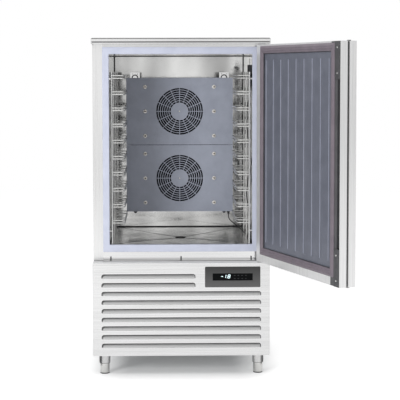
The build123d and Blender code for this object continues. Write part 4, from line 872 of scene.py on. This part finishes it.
def build_gasket():
    """Draw the profile round the door and put it in the plain gasket's place."""
    middle = (GASKET_LOW + GASKET_HIGH) / 2
    half_z = (GASKET_HIGH - GASKET_LOW) / 2
    points, faces = [], []
    for side, level in ((-1, -1), (1, -1), (1, 1), (-1, 1)):
        for inward, rise in GASKET_PROFILE_MM:
            points.append((
                side * (GASKET_HALF - inward * MM), DOOR_BACK + rise * MM,
                middle + level * (half_z - inward * MM)))
    count = len(GASKET_PROFILE_MM)
    for corner in range(4):
        here, there = corner * count, (corner + 1) % 4 * count
        for step in range(count):
            after = (step + 1) % count
            faces.append((here + step, here + after, there + after, there + step))
    mesh = new_mesh("door_gasket_profile", points, faces, gasket_pvc)
    shape = bmesh.new()
    shape.from_mesh(mesh)
    bmesh.ops.recalc_face_normals(shape, faces=shape.faces)
    shape.to_mesh(mesh)
    shape.free()
    mesh.transform(SWING)
    place_piece("door_gasket_profile", mesh, "door", "gasket_mauve", "door_gasket")


build_gasket()

# Door liner: a painted highlight on the crests of its nine ribs, and painted shade in the dark slit round the
# gasket's inner edge

RIB_PITCH, RIB_Y, RIB_LOW, RIB_HIGH, RIBS_EACH_SIDE = 0.074, -0.3418, 0.600, 1.397, 4
rib_lines = [
    upright_line(RIB_PITCH * k, RIB_Y, RIB_LOW, RIB_HIGH)
    for k in range(-RIBS_EACH_SIDE, RIBS_EACH_SIDE + 1)
]
door_rods("liner_rib_highlights", rib_lines, rib_highlight_abs, "door_liner_grey", radius=0.0019)
SLIT_INWARD = 0.0322
slit_x = GASKET_HALF - SLIT_INWARD
slit_low, slit_high = GASKET_LOW + SLIT_INWARD, GASKET_HIGH - SLIT_INWARD
slit_lines = [level_line(slit_x, DOOR_BACK, z) for z in (slit_low, slit_high)]
slit_lines += [upright_line(x, DOOR_BACK, slit_low, slit_high) for x in (-slit_x, slit_x)]
door_rods("gasket_slit_shade", slit_lines, silicone_and_shade_bead, "gasket_mauve", radius=0.0021)

# Painted shade: a dark rod in the groove down the free edge of the door, where the skin's lip rolls in

GROOVE_X, GROOVE_Y, GROOVE_LOW, GROOVE_HIGH = -0.3905, -0.3755, 0.507, 1.462
door_rods("door_groove_shade", [upright_line(GROOVE_X, GROOVE_Y, GROOVE_LOW, GROOVE_HIGH)], dark_steel_and_shade,
          "stainless_outer", radius=0.0027)

# Two screws in each end block of the grip

GRIP_SCREW_X, GRIP_FACE_Y, GRIP_SCREW_ZS = -0.371, -0.337, (0.530, 0.630, 1.339, 1.439)
grip_screws = turned_heads(
    "grip_screws", [(GRIP_SCREW_X, GRIP_FACE_Y, z) for z in GRIP_SCREW_ZS], radii=(0.0042, 0.0038, 0.0022),
    heights=(0.0009, 0.0007), sides=14, finish=wire_steel, turn=FACING_REAR)
grip_screws.transform(SWING)
place_piece("grip_screws", grip_screws, "door", "rack_wire")


# Display: three slanted seven-segment characters and two rows of unlit marks on the window

# BAR_GAP, from the corner of two bars to a bar's shoulder, is in half widths of the bar
WINDOW_Y, BAR_RISE, BAR_GAP = -0.4101, 0.0003, 1.15
DIGIT_W, DIGIT_H, DIGIT_FOOT = 0.0092, 0.0145, 0.4318
DIGIT_BAR, DIGIT_SLANT, SLANT_FROM = 0.00125, 0.16, 0.427
# Each character's left side and its lit segments
CHARACTERS = ((0.1745, "g"), (0.1863, "bc"), (0.2050, "abcdefg"))
# Each segment's ends, as (column, row) from the lower left
SEGMENTS = {
    "a": ((0, 2), (1, 2)), "b": ((1, 1), (1, 2)), "c": ((1, 0), (1, 1)), "d": ((0, 0), (1, 0)),
    "e": ((0, 0), (0, 1)), "f": ((0, 1), (0, 2)), "g": ((0, 1), (1, 1)),
}
MARK_FIRST_X, MARK_PITCH, MARKS, MARK_HALF, MARK_BAR = 0.237, 0.0165, 4, 0.0035, 0.0010
MARK_ROWS = (0.4295, 0.4435)


def flat_bar(points, faces, start, end, half, slant):
    """One display segment: a bar with pointed ends, leaning with its height."""
    run = (Vector(end) - Vector(start)).normalized()
    across = Vector((-run.y, run.x)) * half
    a, b = Vector(start) + run * half * BAR_GAP, Vector(end) - run * half * BAR_GAP
    ring = [a - run * half, a + across, b + across, b + run * half, b - across, a - across]
    base, count = len(points), len(ring)
    for y in (WINDOW_Y, WINDOW_Y - BAR_RISE):
        points.extend((p.x + slant * (p.y - SLANT_FROM), y, p.y) for p in ring)
    faces.append(tuple(base + count + k for k in range(count)))
    for k in range(count):
        after = (k + 1) % count
        faces.append((base + k, base + after, base + count + after, base + count + k))


def build_display():
    """Draw the lit characters and the unlit marks, one piece each."""
    points, faces = [], []
    for left, lit in CHARACTERS:
        for name in lit:
            start, end = [
                (left + x * DIGIT_W, DIGIT_FOOT + y * DIGIT_H / 2) for x, y in SEGMENTS[name]
            ]
            flat_bar(points, faces, start, end, DIGIT_BAR, DIGIT_SLANT)
    digits = new_mesh("display_digits", points, faces, digit_glow)
    place_piece("display_digits", digits, "cabinet", "display_black")
    points, faces = [], []
    for column in range(MARKS):
        x = MARK_FIRST_X + MARK_PITCH * column
        for z in MARK_ROWS:
            flat_bar(points, faces, (x - MARK_HALF, z), (x + MARK_HALF, z), MARK_BAR, 0.0)
    marks = new_mesh("display_marks", points, faces, icon_painted_glow)
    place_piece("display_marks", marks, "cabinet", "display_black")


build_display()


# Floor, world and lamps: a white studio with the shadow kept on the floor and a painted shadow under the
# object

SKY_LIGHT = 0.46
FLOOR_HALF, FLOOR_TONE = 9, (0.86, 0.86, 0.86, 1)
# The open floor glows plain white a step away from the footprint; under it the paper keeps its shadow, and
# the glow drops there as a painted shadow.
SHADE_BOX, SHADE_EDGE, SHADE_GLOW, OPEN_GLOW = (0.24, 0.36, 1.0), 0.22, 0.12, 0.59
FLAG_TONE = (0.42, 0.42, 0.42, 1)
# Each lamp's place, what it points at, its size and its power
LAMPS = {
    "Key": ((-2.9, -4.3, 1.7), (0.1, 0.0, 0.9), 1.8, 145),
    "Fill": ((2.8, -4.4, 1.7), (0.2, 0.0, 0.8), 2.4, 22),
    "Top": ((0.0, -0.6, 4.2), (0.0, -0.2, 0.0), 3.0, 30),
}


def level_card(left, front, right, rear, z):
    """Corners of a level card."""
    return [(left, front, z), (right, front, z), (right, rear, z), (left, rear, z)]


def upright_card(start, end, low, high):
    """Corners of an upright card over a line on the floor."""
    return [(*start, low), (*end, low), (*end, high), (*start, high)]


FLAGS = {
    "flag_above": level_card(-1.6, -1.7, 1.6, 0.5, 3.6),
    "flag_left": upright_card((-2.8, -3.8), (-2.8, 1.5), 0.02, 2.6),
    "flag_behind": upright_card((-1.5, 3.2), (1.5, 3.2), 0.02, 2.2),
    "flag_right": upright_card((2.4, -1.9), (2.4, 1.5), 0.02, 2.6),
    "flag_foot_left": upright_card((-0.430, -0.44), (-0.430, -0.20), 0.024, 0.076),
    "flag_foot_right": upright_card((0.430, -0.44), (0.430, -0.20), 0.024, 0.076),
}


def seen_directly(tree):
    """1 for rays from the camera, from a reflection or through glass."""
    path = node(tree, "ShaderNodeLightPath").outputs
    first = node(tree, "ShaderNodeMath", {
        0: path["Is Camera Ray"], 1: path["Is Glossy Ray"],
    }, operation="MAXIMUM")
    return node(tree, "ShaderNodeMath", {
        0: first.outputs[0], 1: path["Is Transmission Ray"],
    }, operation="MAXIMUM").outputs[0]


def stage_card(name, corners, finish):
    """A flat sheet of the studio, not part of the object."""
    card = bpy.data.objects.new(name, new_mesh(name, corners, [(0, 1, 2, 3)], finish))
    bpy.context.scene.collection.objects.link(card)
    return card


def light_sky():
    """A world that looks white and lights the object at a plain level."""
    world = bpy.data.worlds.new("Studio")
    world.use_nodes = True
    tree = world.node_tree
    tree.nodes.clear()
    level = node(tree, "ShaderNodeMapRange", {
        "Value": seen_directly(tree), "To Min": SKY_LIGHT, "To Max": 1.0,
    })
    sky = node(tree, "ShaderNodeBackground", {"Color": (1, 1, 1, 1), "Strength": level.outputs[0]})
    node(tree, "ShaderNodeOutputWorld", {"Surface": sky.outputs[0]})
    bpy.context.scene.world = world


def lay_floor():
    """White paper whose glow rises to plain white around the footprint and drops under it as a painted
    shadow.
    """
    made, tree = new_finish("Studio_floor")
    place = node(tree, "ShaderNodeTexCoord")
    folded = node(tree, "ShaderNodeVectorMath", {0: place.outputs["Object"]}, operation="ABSOLUTE")
    past = node(tree, "ShaderNodeVectorMath", {0: folded.outputs[0], 1: SHADE_BOX}, operation="SUBTRACT")
    clear = node(tree, "ShaderNodeVectorMath", {0: past.outputs[0], 1: (0, 0, 0)}, operation="MAXIMUM")
    away = node(tree, "ShaderNodeVectorMath", {0: clear.outputs[0]}, operation="LENGTH")
    # Painted shadow: the glow is SHADE_GLOW under the footprint and rises to OPEN_GLOW over SHADE_EDGE.
    near = node(tree, "ShaderNodeMapRange", {
        "Value": away.outputs["Value"], "From Min": 0.0, "From Max": SHADE_EDGE,
        "To Min": SHADE_GLOW, "To Max": OPEN_GLOW,
    })
    paper = node(tree, "ShaderNodeBsdfDiffuse", {"Color": FLOOR_TONE})
    glow = node(tree, "ShaderNodeMath", {0: seen_directly(tree), 1: near.outputs[0]}, operation="MULTIPLY")
    lift = node(tree, "ShaderNodeEmission", {"Strength": glow.outputs[0]})
    both = node(tree, "ShaderNodeAddShader", {0: paper.outputs[0], 1: lift.outputs[0]})
    node(tree, "ShaderNodeOutputMaterial", {"Surface": both.outputs[0]})
    stage_card("floor", level_card(-FLOOR_HALF, -FLOOR_HALF, FLOOR_HALF, FLOOR_HALF, 0), made)


def hang_flags():
    """Grey cloth overhead, behind, at both sides and beside the front feet, only for the steel to reflect.

    It gives the folds and tubes their tone.
    """
    made, tree = new_finish("Studio_flag_cloth")
    cloth = node(tree, "ShaderNodeBsdfDiffuse", {"Color": FLAG_TONE})
    node(tree, "ShaderNodeOutputMaterial", {"Surface": cloth.outputs[0]})
    for name, corners in FLAGS.items():
        flag = stage_card(name, corners, made)
        flag.visible_camera = False
        flag.visible_diffuse = False
        flag.visible_shadow = False


def set_lamps():
    """Square soft lamps that no reflection shows."""
    for name, (place, target, size, power) in LAMPS.items():
        lamp = bpy.data.lights.new(name, "AREA")
        lamp.size = size
        lamp.energy = power
        holder = bpy.data.objects.new(name, lamp)
        aim = Vector(target) - Vector(place)
        holder.matrix_world = Matrix.Translation(place) @ aim.to_track_quat("-Z", "Y").to_matrix().to_4x4()
        holder.visible_glossy = False
        bpy.context.scene.collection.objects.link(holder)


light_sky()
lay_floor()
hang_flags()
set_lamps()
bpy.context.scene.view_settings.view_transform = "Standard"
